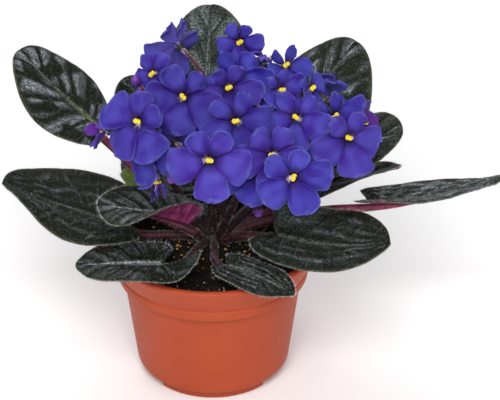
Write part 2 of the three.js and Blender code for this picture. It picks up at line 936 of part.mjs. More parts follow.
// A bloom's own stalk, from the branch into the back of its tube
function pedicel(bloom) {
  const facing = facingOf(bloom);
  const branch = new THREE.Vector3(...bloom.truss.branch);
  const back = bloom.centre.clone().addScaledVector(facing, -FLOWER_TUBE - SEAT);
  const points = [
    branch,
    branch.clone().lerp(back, 0.4),
    back.clone().addScaledVector(facing, -NECK / 2),
    back,
  ];
  return clearStalk(points, PEDICEL_RADII, PEDICEL_SIDES, 4);
}

// A bud on its own short stalk, nodding a little outwards
function bud(truss, place) {
  const branch = new THREE.Vector3(...truss.branch);
  const tip = new THREE.Vector3(...place);
  const middle = branch.clone().lerp(tip, 0.6).add(new THREE.Vector3(0, 0, 4));
  const ball = new THREE.SphereGeometry(BUD_RADIUS, 6, 4).scale(1, 1, 1.25).translate(...place);
  ball.deleteAttribute("normal");
  ball.deleteAttribute("uv");
  const points = [branch, branch.clone().lerp(middle, 0.5), middle, tip];
  return clearStalk(points, PEDICEL_RADII, PEDICEL_SIDES, 4).add(toSolid(ball));
}

// A truss's stalk, from the crown to where it branches
function peduncle(truss) {
  const branch = new THREE.Vector3(...truss.branch);
  const out = new THREE.Vector3(branch.x, branch.y, 0).normalize();
  const root = out.clone().multiplyScalar(STALK_START).setZ(CROWN_TOP - STALK_SINK);
  const points = [
    root,
    root.clone().lerp(branch, 0.35).addScaledVector(out, -3),
    root.clone().lerp(branch, 0.7).addScaledVector(out, -2),
    branch,
  ];
  return clearStalk(points, PEDUNCLE_RADII, STALK_SIDES, 5);
}

let stalks = toSolid(crownGeometry());
leaves.forEach((leaf, i) => {
  stalks = stalks.add(seatedStalk(leaf, hard[i]));
});
for (const truss of TRUSSES) {
  stalks = stalks.add(peduncle(truss));
  for (const place of truss.buds) {
    stalks = stalks.add(bud(truss, place));
  }
}
for (const bloom of blooms) {
  stalks = stalks.add(pedicel(bloom));
}
add("stalks", toGeometry(stalks), STALK_RED);

export default plant;
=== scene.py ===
"""Potted african violet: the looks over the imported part, in millimetres until a mesh is built."""

from types import SimpleNamespace

import bpy
import numpy as np
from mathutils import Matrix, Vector
from mathutils.bvhtree import BVHTree
from numpy import array, asarray, clip, concatenate, cos, hypot
from numpy import linspace, maximum, pi, radians, sin, stack


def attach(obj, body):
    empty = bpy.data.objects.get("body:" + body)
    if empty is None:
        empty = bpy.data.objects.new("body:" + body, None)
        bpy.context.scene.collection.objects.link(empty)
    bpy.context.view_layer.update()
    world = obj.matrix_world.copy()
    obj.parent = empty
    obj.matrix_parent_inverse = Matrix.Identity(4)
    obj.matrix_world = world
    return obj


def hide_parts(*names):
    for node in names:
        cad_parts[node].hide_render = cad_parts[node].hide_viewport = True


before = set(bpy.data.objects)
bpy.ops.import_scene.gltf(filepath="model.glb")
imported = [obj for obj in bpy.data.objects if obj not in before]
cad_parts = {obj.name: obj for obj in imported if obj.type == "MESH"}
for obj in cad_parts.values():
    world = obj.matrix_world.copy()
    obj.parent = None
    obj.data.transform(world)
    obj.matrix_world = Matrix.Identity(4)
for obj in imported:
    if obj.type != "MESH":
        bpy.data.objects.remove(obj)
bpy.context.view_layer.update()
MM = 0.001
rng = np.random.default_rng(7)

# Pot and soil
RIM_RADIUS = 60
POT_HEIGHT = 83
FOOT_RADIUS = 37.5
BODY_BASE_RADIUS = 42.4
BODY_TOP_RADIUS = 49.4
COLLAR_BASE_RADIUS = 52.6
COLLAR_BASE_HEIGHT = 60.4
GROOVE_RISE = 6.5
WALL = 1.8
FLOOR = 6.4
FOOT_HEIGHT = 4.6
FOOT_GAPS = [-30, 90, 210]
FOOT_GAP_WIDTH = 16
FOOT_GAP_DEPTH = 5.5
POT_SIDES = 144
SOIL_LEVEL = 77.5
SOIL_GRAIN = 0.9
SOIL_SIDES = 132
SOIL_RINGS = 46
HOLE_BOTTOM = 60
CRUMBS = 4200
CRUMB_REACH = 53
PALE_CRUMBS_FROM = 0.968
TAN_CRUMBS_FROM = 0.935
# The gap between pieces that touch, and how near its axis a turned form starts
SEAT = 0.3
AXIS = 0.01

# Stalks
CROWN_RADIUS = 7.5
CROWN_ROOT = 68
CROWN_TOP = 87
STALK_START = 3
STALK_SINK = 7
LEAF_STALK_RADIUS = 2.5
LEAF_STALK_TAPER = [1.15, 1.05, 1, 1, 0.95, 0.7]
LEAF_RIB_RADIUS = 0.8
LEAF_STALK_STEPS = 36
PEDUNCLE_RADII = [2.4, 2.1, 1.8, 1.4]
PEDUNCLE_STEPS = 26
PEDUNCLE_FIT_STEPS = 5
PEDICEL_RADII = [1, 0.85, 0.8, 0.8]
PEDICEL_STEPS = 16
PEDICEL_FIT_STEPS = 4
NECK = 8
BUD_RADIUS = 3
TUBE_SIDES = 12
CROWN_SIDES = 24
# The bends that are tried for a stalk, each turned all round, and the least that one has to gain
BENDS = [3, 6, 9, 12, 16, 20]
BEND_TURNS = 12
LEAST_GAIN = 0.15
# How thick fine stalks are, as a share of the solid ones round them
STALK_SHARE = 0.96
PEDICEL_SHARE = 0.95

# Leaves
BLADE_THICKNESS = 0.8
BLADE_ROWS = 96
BLADE_COLUMNS = 22
ROW_SPREAD = 1.15
WIDEST = 0.38
MIDRIB_STEPS = 24
TIP_NARROWING = 0.16
WAVES = 13
ROOT_SPREAD = 2.2
MARGIN_SPREAD = 0.8
ROUND_FROM = 145
ROUND_TO = 172
ROUND_LEAST = 0.1
TUCK_FULL = 0.35
SIDE_VEINS = 8
FOLD_LINES = 4

# Hairs: how many a square millimetre of leaf, and a millimetre of margin or stalk
LEAF_HAIRS = 0.28
MARGIN_HAIRS = 6
STALK_HAIRS = 11
HAIR_WIDTH = 0.075
STALK_HAIR_WIDTH = 0.07

# Blooms
FLOWER_TUBE = 5.5
LOBE_ROWS = 18
LOBE_COLUMNS = 16
LOBE_WIDEST = 0.76
PETAL_THICKNESS = 0.45
FUNNEL_SIDES = 24
SEPALS = 5
SEPAL_ROWS = 6
SEPAL_THICKNESS = 0.3
CLOSED_NARROWING = 1.25

# Colours, linear
POT_DARK = (0.385, 0.06, 0.022, 1)
POT_LIGHT = (0.415, 0.068, 0.026, 1)
SOIL_DARK = (0.003, 0.0022, 0.002)
SOIL_LIGHT = (0.014, 0.009, 0.007)
CRUMB_DARK = (0.004, 0.003, 0.002)
CRUMB_LIGHT = (0.035, 0.022, 0.013)
CRUMB_PALE = (0.55, 0.5, 0.4)
CRUMB_TAN = (0.66, 0.38, 0.09)
LEAF_DARK = (0.0054, 0.0096, 0.003)
LEAF_GREY = (0.058, 0.072, 0.063)
LEAF_VEIN = (0.003, 0.0042, 0.002)
# Painted sheen: the light that the hairy panels between the veins catch
LEAF_SILVER_SHEEN = (0.185, 0.205, 0.222)
# Painted highlight: the light caught by hairs along veins, midrib and folds
LEAF_LINE_HIGHLIGHT = (0.34, 0.36, 0.39)
LEAF_MARGIN = (0.075, 0.085, 0.05)
LEAF_RIB = (0.15, 0.21, 0.035)
LEAF_YOUNG = (0.16, 0.24, 0.05)
LEAF_UNDER = (0.25, 0.04, 0.13)
PETAL_BLUE = (0.058, 0.058, 0.37)
# Painted shade in crevices and on the lee side of lobes, mixed with darker veins and random clouds
PETAL_SHADE = (0.016, 0.006, 0.18)
# Painted highlight along the lobe edges
PETAL_EDGE_HIGHLIGHT = (0.115, 0.12, 0.44)
PETAL_PURPLE = (0.1, 0.02, 0.24)
# Painted shade round the throat and inside the tube
PETAL_THROAT_SHADE = (0.014, 0.006, 0.07)
PETAL_BACK = (0.085, 0.075, 0.37)
THROAT_PALE = (0.75, 0.62, 0.74)
ANTHER_YELLOW = (0.95, 0.72, 0.05)
STYLE_DARK = (0.12, 0.015, 0.07)
BUD_SEPALS = (0.05, 0.01, 0.028)
BUD_VIOLET = (0.085, 0.018, 0.22)
# Painted highlight on the tip of a bud
BUD_TIP_HIGHLIGHT = (0.24, 0.06, 0.42)
STALK_DARK = (0.024, 0.0075, 0.0102)
STALK_PINK = (0.3, 0.045, 0.1)
STALK_GREEN = (0.045, 0.04, 0.018)
PEDICEL_RED = (0.16, 0.02, 0.04)
HAIR_PALE = (0.72, 0.74, 0.76)

# The materials of the plant, which take their colours from each piece
PLANT_LOOKS = dict(
    leaf=dict(grain=850, contrast=0.8, bump=0.9, roughness=0.42, specular=0.12, reach=0.12),
    leaf_under=dict(grain=900, contrast=0.22, bump=0.6, roughness=0.5, specular=0.2),
    hair=dict(grain=700, contrast=0.2, bump=0, roughness=0.5, specular=0.4),
    petal=dict(grain=1300, contrast=0.16, bump=0.5, roughness=0.6, specular=0.1, sheen=0.02),
    anther=dict(grain=1900, contrast=0.15, bump=0.5, roughness=0.55, specular=0.3),
    stalk=dict(grain=1200, contrast=0.35, bump=0.4, roughness=0.42, specular=0.28),
)

# Studio, in metres, with the name, place, size and power of each light
FLOOR_WHITE = (0.94, 0.94, 0.94, 1)
WORLD_STRENGTH = 0.37
LIGHTS = [
    ("key", (-0.08, -1.25, 1.3), 0.8, 27),
    ("fill", (1.1, -0.6, 0.9), 1.2, 3),
    ("back", (-0.3, 0.9, 1.3), 1.0, 10),
]
LIT_SPOT = (0.02, 0, 0.1)
CAMERA_ELEVATION = 31
CAMERA_AIM = (0.0207, 0, 0.1055)
CAMERA_DISTANCE = 1.5
LENS_MM = 197.6
SENSOR_MM = 36

# The same leaves as the part's own source, with their looks from the silver sheen on; the silver sheen,
# the pale lines on veins, ridge and folds, and the pale patch on one half are painted sheen and
# highlights
LEAVES = dict(
    upper_left=dict(
        base=[-61, 30, 133], length=63, width=62, heading=164, pitch=37, turn=-16, bend=2, roll=-9,
        rise=[8, 8], curl=[-40, -8], lobes=[0.1, 0.08], silver=1.0, rib=1.0, pink=1.3,
    ),
    middle_left=dict(
        base=[-43, -1, 88.5], length=77, width=70, heading=164, pitch=7, turn=16, bend=20, roll=-11,
        rise=[17, 14], curl=[-48, 8], silver=0.02, lines=0.25, folds=0.3,
    ),
    curled_left=dict(
        base=[-12, -12, 97.5], length=52, width=48, heading=180, pitch=22, turn=6, bend=-14,
        rise=[80, 18], unfold=[-100, -6], curl=[-10, -22], lobes=[0.1, 0.26],
        silver=0.5, ridge=1.1, grey=0.03, dull_base=0.0,
    ),
    front_left=dict(
        base=[-25, -42, 91], length=48, width=44, heading=180, pitch=2, turn=2, bend=-6,
        rise=[4, 4], curl=[1, -8], lobes=[0.46, 0.08], notch=171, tuck=28, blunt=0.3, round=[1, 0],
        silver=0.27, lines=0.3, ridge=1.1, grey=0.03,
    ),
    front_small=dict(
        base=[8, -41, 89.5], length=42, width=29, heading=-30, pitch=0, bend=-16,
        rise=[5, 5], curl=[-14, -14], stalk=2, silver=0.08, lines=0.2, folds=0.5, grey=0.04,
    ),
    front_right=dict(
        base=[33.5, -15.5, 93.5], length=66, width=62, heading=-30, pitch=-4, turn=32, bend=16,
        roll=3, rise=[24, 18], curl=[-22, -36], lobes=[0.2, 0.15], taper=0.62,
        silver=0.07, lines=0.25, folds=0.4, frost=1.6, grey=0.05, pink=0.35,
    ),
    far_right=dict(
        base=[85, 12, 97], length=76, width=37, heading=-3, pitch=3, turn=2, bend=20,
        rise=[6, 33], unfold=[-22, -16], curl=[0, -6], lobes=[0.1, 0.14], taper=0.68,
        silver=0.5, lines=0.4, folds=0.9, grey=0.17, pink=1.0,
    ),
    back_right=dict(
        base=[44, 12.5, 99.8], length=64, width=37, heading=18, pitch=13, turn=-2, bend=-10,
        rise=[2, 20], unfold=[0, 14], curl=[-6, -8], taper=1.5, silver=0.3, pink=0.7,
    ),
    right=dict(
        base=[53, 35, 112], length=58, width=56, heading=-18, pitch=26, turn=6, bend=-5, roll=-16,
        rise=[11, 6], curl=[-34, 6], taper=0.8,
        silver=0.2, lines=0.9, ridge=1.0, rib=0.5, grey=0.1, pink=0.7,
    ),
    upper_right=dict(
        base=[46, 30, 127], length=66, width=65, heading=61, pitch=41, turn=-24, bend=-8,
        rise=[4, 2], curl=[-17, -28], silver=0.8, grey=0.03, pink=0.7,
    ),
    upper_back=dict(
        base=[-4, 34, 134], length=69, width=53, heading=87, pitch=47, turn=-1, bend=-3, roll=5,
        rise=[9, 10], curl=[-12, -13], silver=0.45, grey=0.75,
    ),
    left_back=dict(
        base=[-31, 40, 116], length=43, width=38, heading=128, pitch=50,
        rise=[8, 8], curl=[-16, -16], stalk=2, silver=0.3,
    ),
    young_left=dict(
        base=[-31, 16, 98], length=24, width=19, heading=152, pitch=25,
        rise=[12, 12], curl=[-20, -20], lobes=[0.06, 0.06], tuck=24, stalk=1.2, silver=0.0, young=1.0,
    ),
    back_low_left=dict(
        base=[-23, 34, 90], length=52, width=44, heading=110, pitch=14, bend=-20,
        rise=[8, 8], curl=[-22, -16],
    ),
    back_low_right=dict(
        base=[30, 31, 91], length=62, width=50, heading=60, pitch=16, bend=-20,
        rise=[8, 8], curl=[-16, -22],
    ),
    back_low=dict(
        base=[0, 38, 88.4], length=56, width=46, heading=92, pitch=0, bend=-10,
        rise=[6, 6], curl=[-14, -14],
    ),
)
LEAF_HABIT = dict(
    turn=0, bend=0, roll=0, unfold=[0, 0], lobes=[0.16, 0.16], wave=0.8, taper=0.92, notch=150,
    blunt=0.78, round=[0, 0], tuck=14, stalk=LEAF_STALK_RADIUS, silver=0.4, lines=0.6, ridge=0.4,
    rib=0.15, folds=0.0, frost=0.0, grey=0.0, young=0.0, pink=0.22, dull_base=0.95,
)

# The lobes of a bloom: the angle from its right, counterclockwise, and the reach
LOBES = [(54, 0.76), (126, 0.76), (198, 1), (270, 1), (342, 1)]

# What the numbers of a bloom say: its place, the way it faces, and how far its lobes open and curl
BLOOM_KEYS = ["x", "y", "z", "heading", "pitch", "spin", "size", "start", "curl"]
OPEN = (10, -24)


def truss(branch, buds=(), **rows):
    """A flower stalk: the point where it branches, the tips of its buds, and its blooms"""
    blooms = {name: SimpleNamespace(**dict(zip(BLOOM_KEYS, row))) for name, row in rows.items()}
    return SimpleNamespace(branch=array(branch, float), buds=buds, blooms=blooms)


# The same trusses as the part's own source
TRUSSES = [
    truss(
        [-12, -24, 142],
        [[-20, -52, 150], [-49, -14, 146]],
        hanging=[-28, -38, 141, -110, -72, 0, 12, 66, 10],
        inner_left=[-20, -22, 155, 115, -12, 0, 12, 20, -10],
        lower_left=[-32, -37, 159, -130, 8, 10, 18, 14, -20],
        front_left=[0, -63, 168, -92, 25, 0, 22, *OPEN],
        inner_middle=[-3, -28, 157, -100, 28, 0, 14, *OPEN],
    ),
    truss(
        [22, -26, 138],
        [[25, -40, 123]],
        inner_front=[18, -24, 156, -88, 35, 0, 15, *OPEN],
        front_low=[21, -50, 152, -92, 2, 0, 17, 16, -20],
        front=[32, -52, 165, -88, 20, 0, 19, *OPEN],
        front_right=[42, -68, 161, -80, 20, 18, 20, *OPEN],
        centre=[13, -42, 179, -85, 42, 10, 20, *OPEN],
    ),
    truss(
        [-28, 10, 144],
        [[-40, 2, 178]],
        spent_left=[-57, -4, 151, 190, 5, 0, 12, 40, 0],
        folded_left=[-22, -8, 160, -150, 62, 0, 15, 50, -10],
        left=[-38, -36, 175, -112, 28, -30, 20, *OPEN],
        left_top=[-31, 6, 181, -130, 34, 20, 15, *OPEN],
        left_back=[-44, 30, 147, 150, 26, 0, 17, *OPEN],
    ),
    truss(
        [10, 6, 152],
        inner_top=[24, -12, 172, -90, 60, 0, 13, 30, 0],
        upper_left=[-14, -22, 182, -95, 38, -8, 19, *OPEN],
        upper=[9, -14, 183, -80, 25, 0, 18, 20, -20],
        top=[14, 10, 177, -95, 46, 0, 19, 20, -16],
        right_inner=[34, -4, 175, -35, 38, 0, 15, 28, -10],
        back_top=[15, 44, 182, -90, 20, 0, 13, 16, -20],
    ),
    truss(
        [56, -8, 138],
        far_right=[82, 10, 148, -20, 22, 0, 15, 16, -10],
        middle_right=[45, -30, 174, -100, 48, 0, 18, *OPEN],
        right=[65, -12, 165, -45, 40, 0, 18, 22, -14],
        right_low=[58, -20, 147, -60, 8, 0, 15, *OPEN],
        lower_right=[72, -36, 165, -62, 20, 0, 20, 15, -20],
        right_top=[51, 4, 172, -20, 35, 0, 13, 22, -10],
        top_right=[40, 25, 175, -70, 50, 0, 14, 26, -10],
    ),
    truss(
        [14, 22, 146],
        back_left=[-19, 41, 180, 125, 10, 0, 18, 16, -20],
        top_back=[29, 36, 172, 40, 30, 0, 13, *OPEN],
        back=[-12, 32, 152, 120, 15, 0, 14, *OPEN],
        back_low=[12, 33, 158, 90, 20, 0, 14, *OPEN],
        back_right=[38, 31, 156, 60, 20, 0, 14, *OPEN],
        right_back=[68, 28, 158, 30, 30, 0, 17, *OPEN],
    ),
]

# Blooms whose lobes reach farther than those of the rest
FULLER = dict(upper_left=1.09, left=1.05, top=1.05, inner_left=1.1)
# Blooms that are fading, and so more purple
PURPLE = dict(spent_left=1.0, hanging=0.6, far_right=0.9, top_back=0.5, folded_left=0.3, back_left=0.25)


def smooth(value, low, high):
    share = clip((asarray(value, float) - low) / (high - low), 0, 1)
    return share * share * (3 - 2 * share)


def hump(value, width):
    """1 where the value is 0, falling to nearly nothing at twice the width"""
    return np.exp(-((value / width) ** 2))


def unit(vectors):
    vectors = asarray(vectors, float)
    return vectors / maximum(np.linalg.norm(vectors, axis=-1, keepdims=True), 1e-12)


def direction(heading, pitch):
    return stack([cos(pitch) * cos(heading), cos(pitch) * sin(heading), sin(pitch)], axis=-1)


def blend(first, second, share):
    share = asarray(share, float)[..., None]
    return np.multiply(first, 1 - share) + np.multiply(second, share)


def layered(colour, *layers):
    """The colour with others laid over it in turn, each by its share"""
    for over, share in layers:
        colour = blend(colour, over, share)
    return colour


def ripple(points, wavelength, seed, count=7):
    """A smooth pattern from -1 to 1 over the points, from a few waves in random directions"""
    draw = np.random.default_rng(seed)
    total = np.zeros(points.shape[:-1])
    for _ in range(count):
        wave = unit(draw.normal(size=3)) * (2 * pi / (wavelength * draw.uniform(0.7, 1.5)))
        total += sin(points @ wave + draw.uniform(0, 6.28))
    return clip(total / (0.75 * count**0.5 * 1.4), -1, 1)


def build(name, points, faces, tint, materials, indices=None, flat=False):
    """A mesh piece from points in millimetres, triangles and one colour a point"""
    mesh = bpy.data.meshes.new(name)
    mesh.vertices.add(len(points))
    mesh.vertices.foreach_set("co", (asarray(points) * MM).astype(np.float32).ravel())
    mesh.loops.add(3 * len(faces))
    mesh.loops.foreach_set("vertex_index", asarray(faces, np.int32).ravel())
    mesh.polygons.add(len(faces))
    mesh.polygons.foreach_set("loop_start", np.arange(0, 3 * len(faces), 3, dtype=np.int32))
    mesh.polygons.foreach_set("use_smooth", np.full(len(faces), not flat))
    if indices is not None:
        mesh.polygons.foreach_set("material_index", asarray(indices, np.int32))
    mesh.update(calc_edges=True)
    colours = np.ones((len(points), 4), np.float32)
    colours[:, :3] = tint
    layer = mesh.color_attributes.new(name="tint", type="FLOAT_COLOR", domain="POINT")
    layer.data.foreach_set("color", colours.ravel())
    for material in materials:
        mesh.materials.append(material)
    piece = bpy.data.objects.new(name, mesh)
    bpy.context.scene.collection.objects.link(piece)
    return piece


def place(piece, slot, *nodes):
    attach(piece, "root")
    if nodes:
        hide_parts(*nodes)


class Heap:
    """Points, triangles and colours gathered from several small forms"""

    def __init__(self):
        self.points = []
        self.faces = []
        self.tint = []
        self.count = 0

    def add(self, points, faces, tint):
        points = asarray(points, float).reshape(-1, 3)
        self.points.append(points)
        self.faces.append(asarray(faces, int).reshape(-1, 3) + self.count)
        self.tint.append(np.broadcast_to(asarray(tint, float), points.shape))
        self.count += len(points)

    def arrays(self):
        return concatenate(self.points), concatenate(self.faces), concatenate(self.tint)


def long_normals(points, faces):
    """The normal of each triangle, as long as twice its area"""
    a, b, c = (points[faces[:, i]] for i in range(3))
    return np.cross(b - a, c - a)


def vertex_normals(points, faces):
    normal = long_normals(points, faces)
    total = np.zeros_like(points)
    for i in range(3):
        np.add.at(total, faces[:, i], normal)
    return unit(total)


def grid_faces(rows, columns, closed=False):
    """Triangles over a grid of points, row by row, joined round the columns if closed"""
    row, column = np.mgrid[: rows - 1, : columns if closed else columns - 1]
    a = row * columns + column
    b = row * columns + (column + 1) % columns
    return stack([a, b, a + columns, b, b + columns, a + columns], axis=-1).reshape(-1, 3)


def thicken(points, faces, depth):
    """A closed blade: the sheet, the same sheet set back by depth, and a rim between them"""
    normals = vertex_normals(points, faces)
    under = points - normals * np.reshape(depth, (-1, 1))
    count = len(points)
    edges = concatenate([faces[:, [0, 1]], faces[:, [1, 2]], faces[:, [2, 0]]]).tolist()
    known = set(map(tuple, edges))
    a, b = array([(a, b) for a, b in edges if (b, a) not in known]).T
    strip = stack([a, count + a, b, b, count + a, count + b], axis=1).reshape(-1, 3)
    every = concatenate([faces, faces[:, ::-1] + count, strip])
    return concatenate([points, under]), every, normals


def catmull(points, shares):
    """A centripetal Catmull-Rom curve through the points, at shares of its run"""
    points = asarray(points, float)
    count = len(points)
    padded = concatenate([[2 * points[0] - points[1]], points, [2 * points[-1] - points[-2]]])
    found = []
    for share in shares:
        place_at = share * (count - 1)
        first = min(int(place_at), count - 2)
        t = place_at - first
        p0, p1, p2, p3 = padded[first : first + 4]
        d0, d1, d2 = (np.dot(b - a, b - a) ** 0.25 for a, b in ((p0, p1), (p1, p2), (p2, p3)))
        t1 = ((p1 - p0) / d0 - (p2 - p0) / (d0 + d1) + (p2 - p1) / d1) * d1
        t2 = ((p2 - p1) / d1 - (p3 - p1) / (d1 + d2) + (p3 - p2) / d2) * d1
        c2 = -3 * p1 + 3 * p2 - 2 * t1 - t2
        c3 = 2 * p1 - 2 * p2 + t1 + t2
        found.append(p1 + t1 * t + c2 * t * t + c3 * t**3)
    return array(found)


def radii_at(radii, shares):
    return np.interp(asarray(shares) * (len(radii) - 1), range(len(radii)), radii)


def tube(centres, radii, sides=TUBE_SIDES):
    """Rings round a line of centres, closed at both ends: points, triangles and normals"""
    centres = asarray(centres, float)
    ahead = unit(np.gradient(centres, axis=0))
    normal = unit(np.cross(ahead[0], [0.3, 0.2, 0.9]))
    rings = []
    outward = []
    angles = linspace(0, 2 * pi, sides, endpoint=False)
    for centre, forward, radius in zip(centres, ahead, radii):
        normal = unit(normal - forward * np.dot(normal, forward))
        around = np.outer(cos(angles), normal) + np.outer(sin(angles), np.cross(forward, normal))
        rings.append(centre + around * radius)
        outward.append(around)
    points = concatenate(rings + [centres[:1], centres[-1:]])
    first = len(points) - 2
    last_ring = first - sides
    caps = []
    for side in range(sides):
        after = (side + 1) % sides
        caps.append((first, after, side))
        caps.append((first + 1, last_ring + side, last_ring + after))
    faces = concatenate([grid_faces(len(centres), sides, closed=True), array(caps)])
    return points, faces, concatenate(outward + [-ahead[:1], ahead[-1:]])


def hairs(heap, roots, directions, lengths, width, brightness):
    """One thin triangle a hair"""
    directions = unit(directions)
    side = unit(np.cross(directions, rng.normal(size=directions.shape))) * width / 2
    tips = roots + directions * np.reshape(lengths, (-1, 1))
    points = stack([roots - side, roots + side, tips], axis=1).reshape(-1, 3)
    heap.add(points, np.arange(len(points)), np.multiply(HAIR_PALE, brightness))


def scatter(points, faces, count):
    """Random places on the triangles, by area, with the triangle that each lies on"""
    area = np.linalg.norm(long_normals(points, faces), axis=1)
    chosen = rng.choice(len(faces), size=count, p=area / area.sum())
    u, v = rng.random((2, count))
    over = u + v > 1
    u[over] = 1 - u[over]
    v[over] = 1 - v[over]
    a, b, c = (points[faces[chosen, i]] for i in range(3))
    return a + (b - a) * u[:, None] + (c - a) * v[:, None], chosen


class Look:
    """A material with one Principled shader, and the nodes that drive it"""

    def __init__(self, name):
        self.material = bpy.data.materials.new(name)
        self.material.use_nodes = True
        self.tree = self.material.node_tree
        self.shader = self.tree.nodes["Principled BSDF"]

    def fill(self, node, inputs):
        """Sets inputs of a node to values, or links them to outputs of other nodes"""
        for name, value in inputs.items():
            if isinstance(value, bpy.types.NodeSocket):
                self.tree.links.new(value, node.inputs[name])
            else:
                node.inputs[name].default_value = value

    def add(self, kind, inputs):
        node = self.tree.nodes.new(kind)
        self.fill(node, inputs)
        return node.outputs

    def where(self):
        return self.add("ShaderNodeTexCoord", {})["Object"]

    def noise(self, scale, detail):
        inputs = {"Vector": self.where(), "Scale": scale, "Detail": detail, "Roughness": 0.6}
        return self.add("ShaderNodeTexNoise", inputs)["Fac"]

    def ramp(self, value, low, high, first, second):
        inputs = {"Value": value, "From Min": low, "From Max": high, "To Min": first, "To Max": second}
        return self.add("ShaderNodeMapRange", inputs)["Result"]

    def bump(self, height, strength, distance):
        inputs = {"Height": height, "Strength": strength, "Distance": distance}
        return self.add("ShaderNodeBump", inputs)["Normal"]


def tinted(name, grain, contrast, bump, roughness, specular, sheen=0.0, spread=0.12, reach=0.2):
    """The piece's own colours, broken up by grain, with grain in the bump and the roughness"""
    look = Look(name)
    tint = look.tree.nodes.new("ShaderNodeVertexColor")
    tint.layer_name = "tint"
    texture = look.noise(grain, 3.0)
    scaled = look.tree.nodes.new("ShaderNodeVectorMath")
    scaled.operation = "SCALE"
    brightness = look.ramp(texture, 0.5 - reach, 0.5 + reach, 1 - contrast, 1 + contrast)
    look.fill(scaled, {0: tint.outputs["Color"], "Scale": brightness})
    look.fill(look.shader, {
        "Base Color": scaled.outputs["Vector"],
        "Roughness": look.ramp(texture, 0.3, 0.7, roughness - spread, roughness + spread),
        "Normal": look.bump(look.noise(grain * 1.7, 2.0), bump, 0.0006),
        "Sheen Weight": sheen,
        "Sheen Roughness": 0.4,
        "Specular IOR Level": specular,
    })
    return look.material


def pot_plastic():
    """Terracotta-coloured plastic with faint turning marks and a satin gloss"""
    look = Look("pot_plastic")
    mix = look.tree.nodes.new("ShaderNodeMix")
    mix.data_type = "RGBA"
    share = look.ramp(look.noise(45.0, 4.0), 0.3, 0.7, 0.0, 1.0)
    look.fill(mix, {"Factor": share, "A": POT_DARK, "B": POT_LIGHT})
    marks = look.tree.nodes.new("ShaderNodeTexWave")
    marks.wave_type = "BANDS"
    marks.bands_direction = "Z"
    look.fill(marks, {"Vector": look.where(), "Scale": 900.0, "Distortion": 1.5})
    look.fill(look.shader, {
        "Base Color": mix.outputs["Result"],
        "Roughness": look.ramp(look.noise(260.0, 5.0), 0.3, 0.75, 0.46, 0.62),
        "Normal": look.bump(marks.outputs["Fac"], 0.05, 0.0003),
        "Specular IOR Level": 0.16,
    })
    return look.material


# Pot

INSIDE = [
    [RIM_RADIUS - 3.9, POT_HEIGHT - 0.6],
    [RIM_RADIUS - 4.6, POT_HEIGHT - 5],
    [COLLAR_BASE_RADIUS - WALL, COLLAR_BASE_HEIGHT + 4],
    [BODY_TOP_RADIUS - WALL, COLLAR_BASE_HEIGHT - 3],
    [BODY_BASE_RADIUS - WALL, 10],
    [FOOT_RADIUS, FLOOR],
]


def round_corners(profile, size=0.7, steps=3):
    """The profile with each inner corner replaced by a short curve"""
    profile = asarray(profile, float)
    rounded = [profile[0]]
    for before, corner, after in zip(profile, profile[1:], profile[2:]):
        into = corner - before
        away = after - corner
        reach = min(size, 0.4 * np.linalg.norm(into), 0.4 * np.linalg.norm(away))
        start = corner - unit(into) * reach
        end = corner + unit(away) * reach
        for t in linspace(0, 1, steps + 1):
            rounded.append((1 - t) ** 2 * start + 2 * t * (1 - t) * corner + t * t * end)
    rounded.append(profile[-1])
    return array(rounded)


def lathe(profile, sides, extra=()):
    """The profile turned about z, with columns at extra angles where a sharp edge runs down"""
    angles = linspace(0, 2 * pi, sides, endpoint=False)
    angles = np.sort(concatenate([angles, array(extra, float) % (2 * pi)]))
    rows = []
    for r, z in profile:
        rows.append(stack([r * cos(angles), r * sin(angles), np.full(len(angles), z)], axis=1))
    return concatenate(rows), grid_faces(len(profile), len(angles), closed=True)


def cut_foot_gaps(points):
    """Sets the foot back where its gaps are"""
    x, y, z = points.T
    face = FOOT_RADIUS - FOOT_GAP_DEPTH
    for angle in radians(FOOT_GAPS):
        out = x * cos(angle) + y * sin(angle)
        along = y * cos(angle) - x * sin(angle)
        cut = (np.abs(along) < FOOT_GAP_WIDTH / 2) & (out > face) & (z < FOOT_HEIGHT - 0.1)
        inner = [cos(angle) * face - sin(angle) * along, sin(angle) * face + cos(angle) * along]
        points[cut, :2] = stack(inner, axis=1)[cut]


def pot():
    groove = COLLAR_BASE_HEIGHT + GROOVE_RISE
    outside = [
        [AXIS, 0],
        [FOOT_RADIUS, 0],
        [FOOT_RADIUS + 0.5, FOOT_HEIGHT - 0.5],
        [FOOT_RADIUS + 0.6, FOOT_HEIGHT],
        [BODY_BASE_RADIUS - 1.4, 5.6],
        [BODY_BASE_RADIUS, 7.8],
        [BODY_TOP_RADIUS, COLLAR_BASE_HEIGHT - 0.6],
        [COLLAR_BASE_RADIUS, COLLAR_BASE_HEIGHT],
        [COLLAR_BASE_RADIUS + 0.85, groove - 1.0],
        [COLLAR_BASE_RADIUS + 0.25, groove],
        [COLLAR_BASE_RADIUS + 1.25, groove + 0.9],
        [RIM_RADIUS - 1.6, POT_HEIGHT - 5],
        [RIM_RADIUS - 0.4, POT_HEIGHT - 3],
        [RIM_RADIUS, POT_HEIGHT - 0.9],
        [RIM_RADIUS - 1.6, POT_HEIGHT],
    ]
    profile = round_corners(outside + INSIDE + [[AXIS, FLOOR]])
    half = np.arcsin(FOOT_GAP_WIDTH / 2 / FOOT_RADIUS)
    edges = [radians(a) + s * (half + d) for a in FOOT_GAPS for s in (-1, 1) for d in (-0.003, 0.003)]
    points, faces = lathe(profile, POT_SIDES, edges)
    cut_foot_gaps(points)
    x, y, _ = points.T
    wobble = 1 + 0.0012 * sin(3 * np.arctan2(y, x) + 1) * (hypot(x, y) > 50)
    points[:, :2] *= wobble[:, None]
    place(build("pot", points, faces, (1, 1, 1), [pot_plastic()]), "pot", "pot")


# Soil

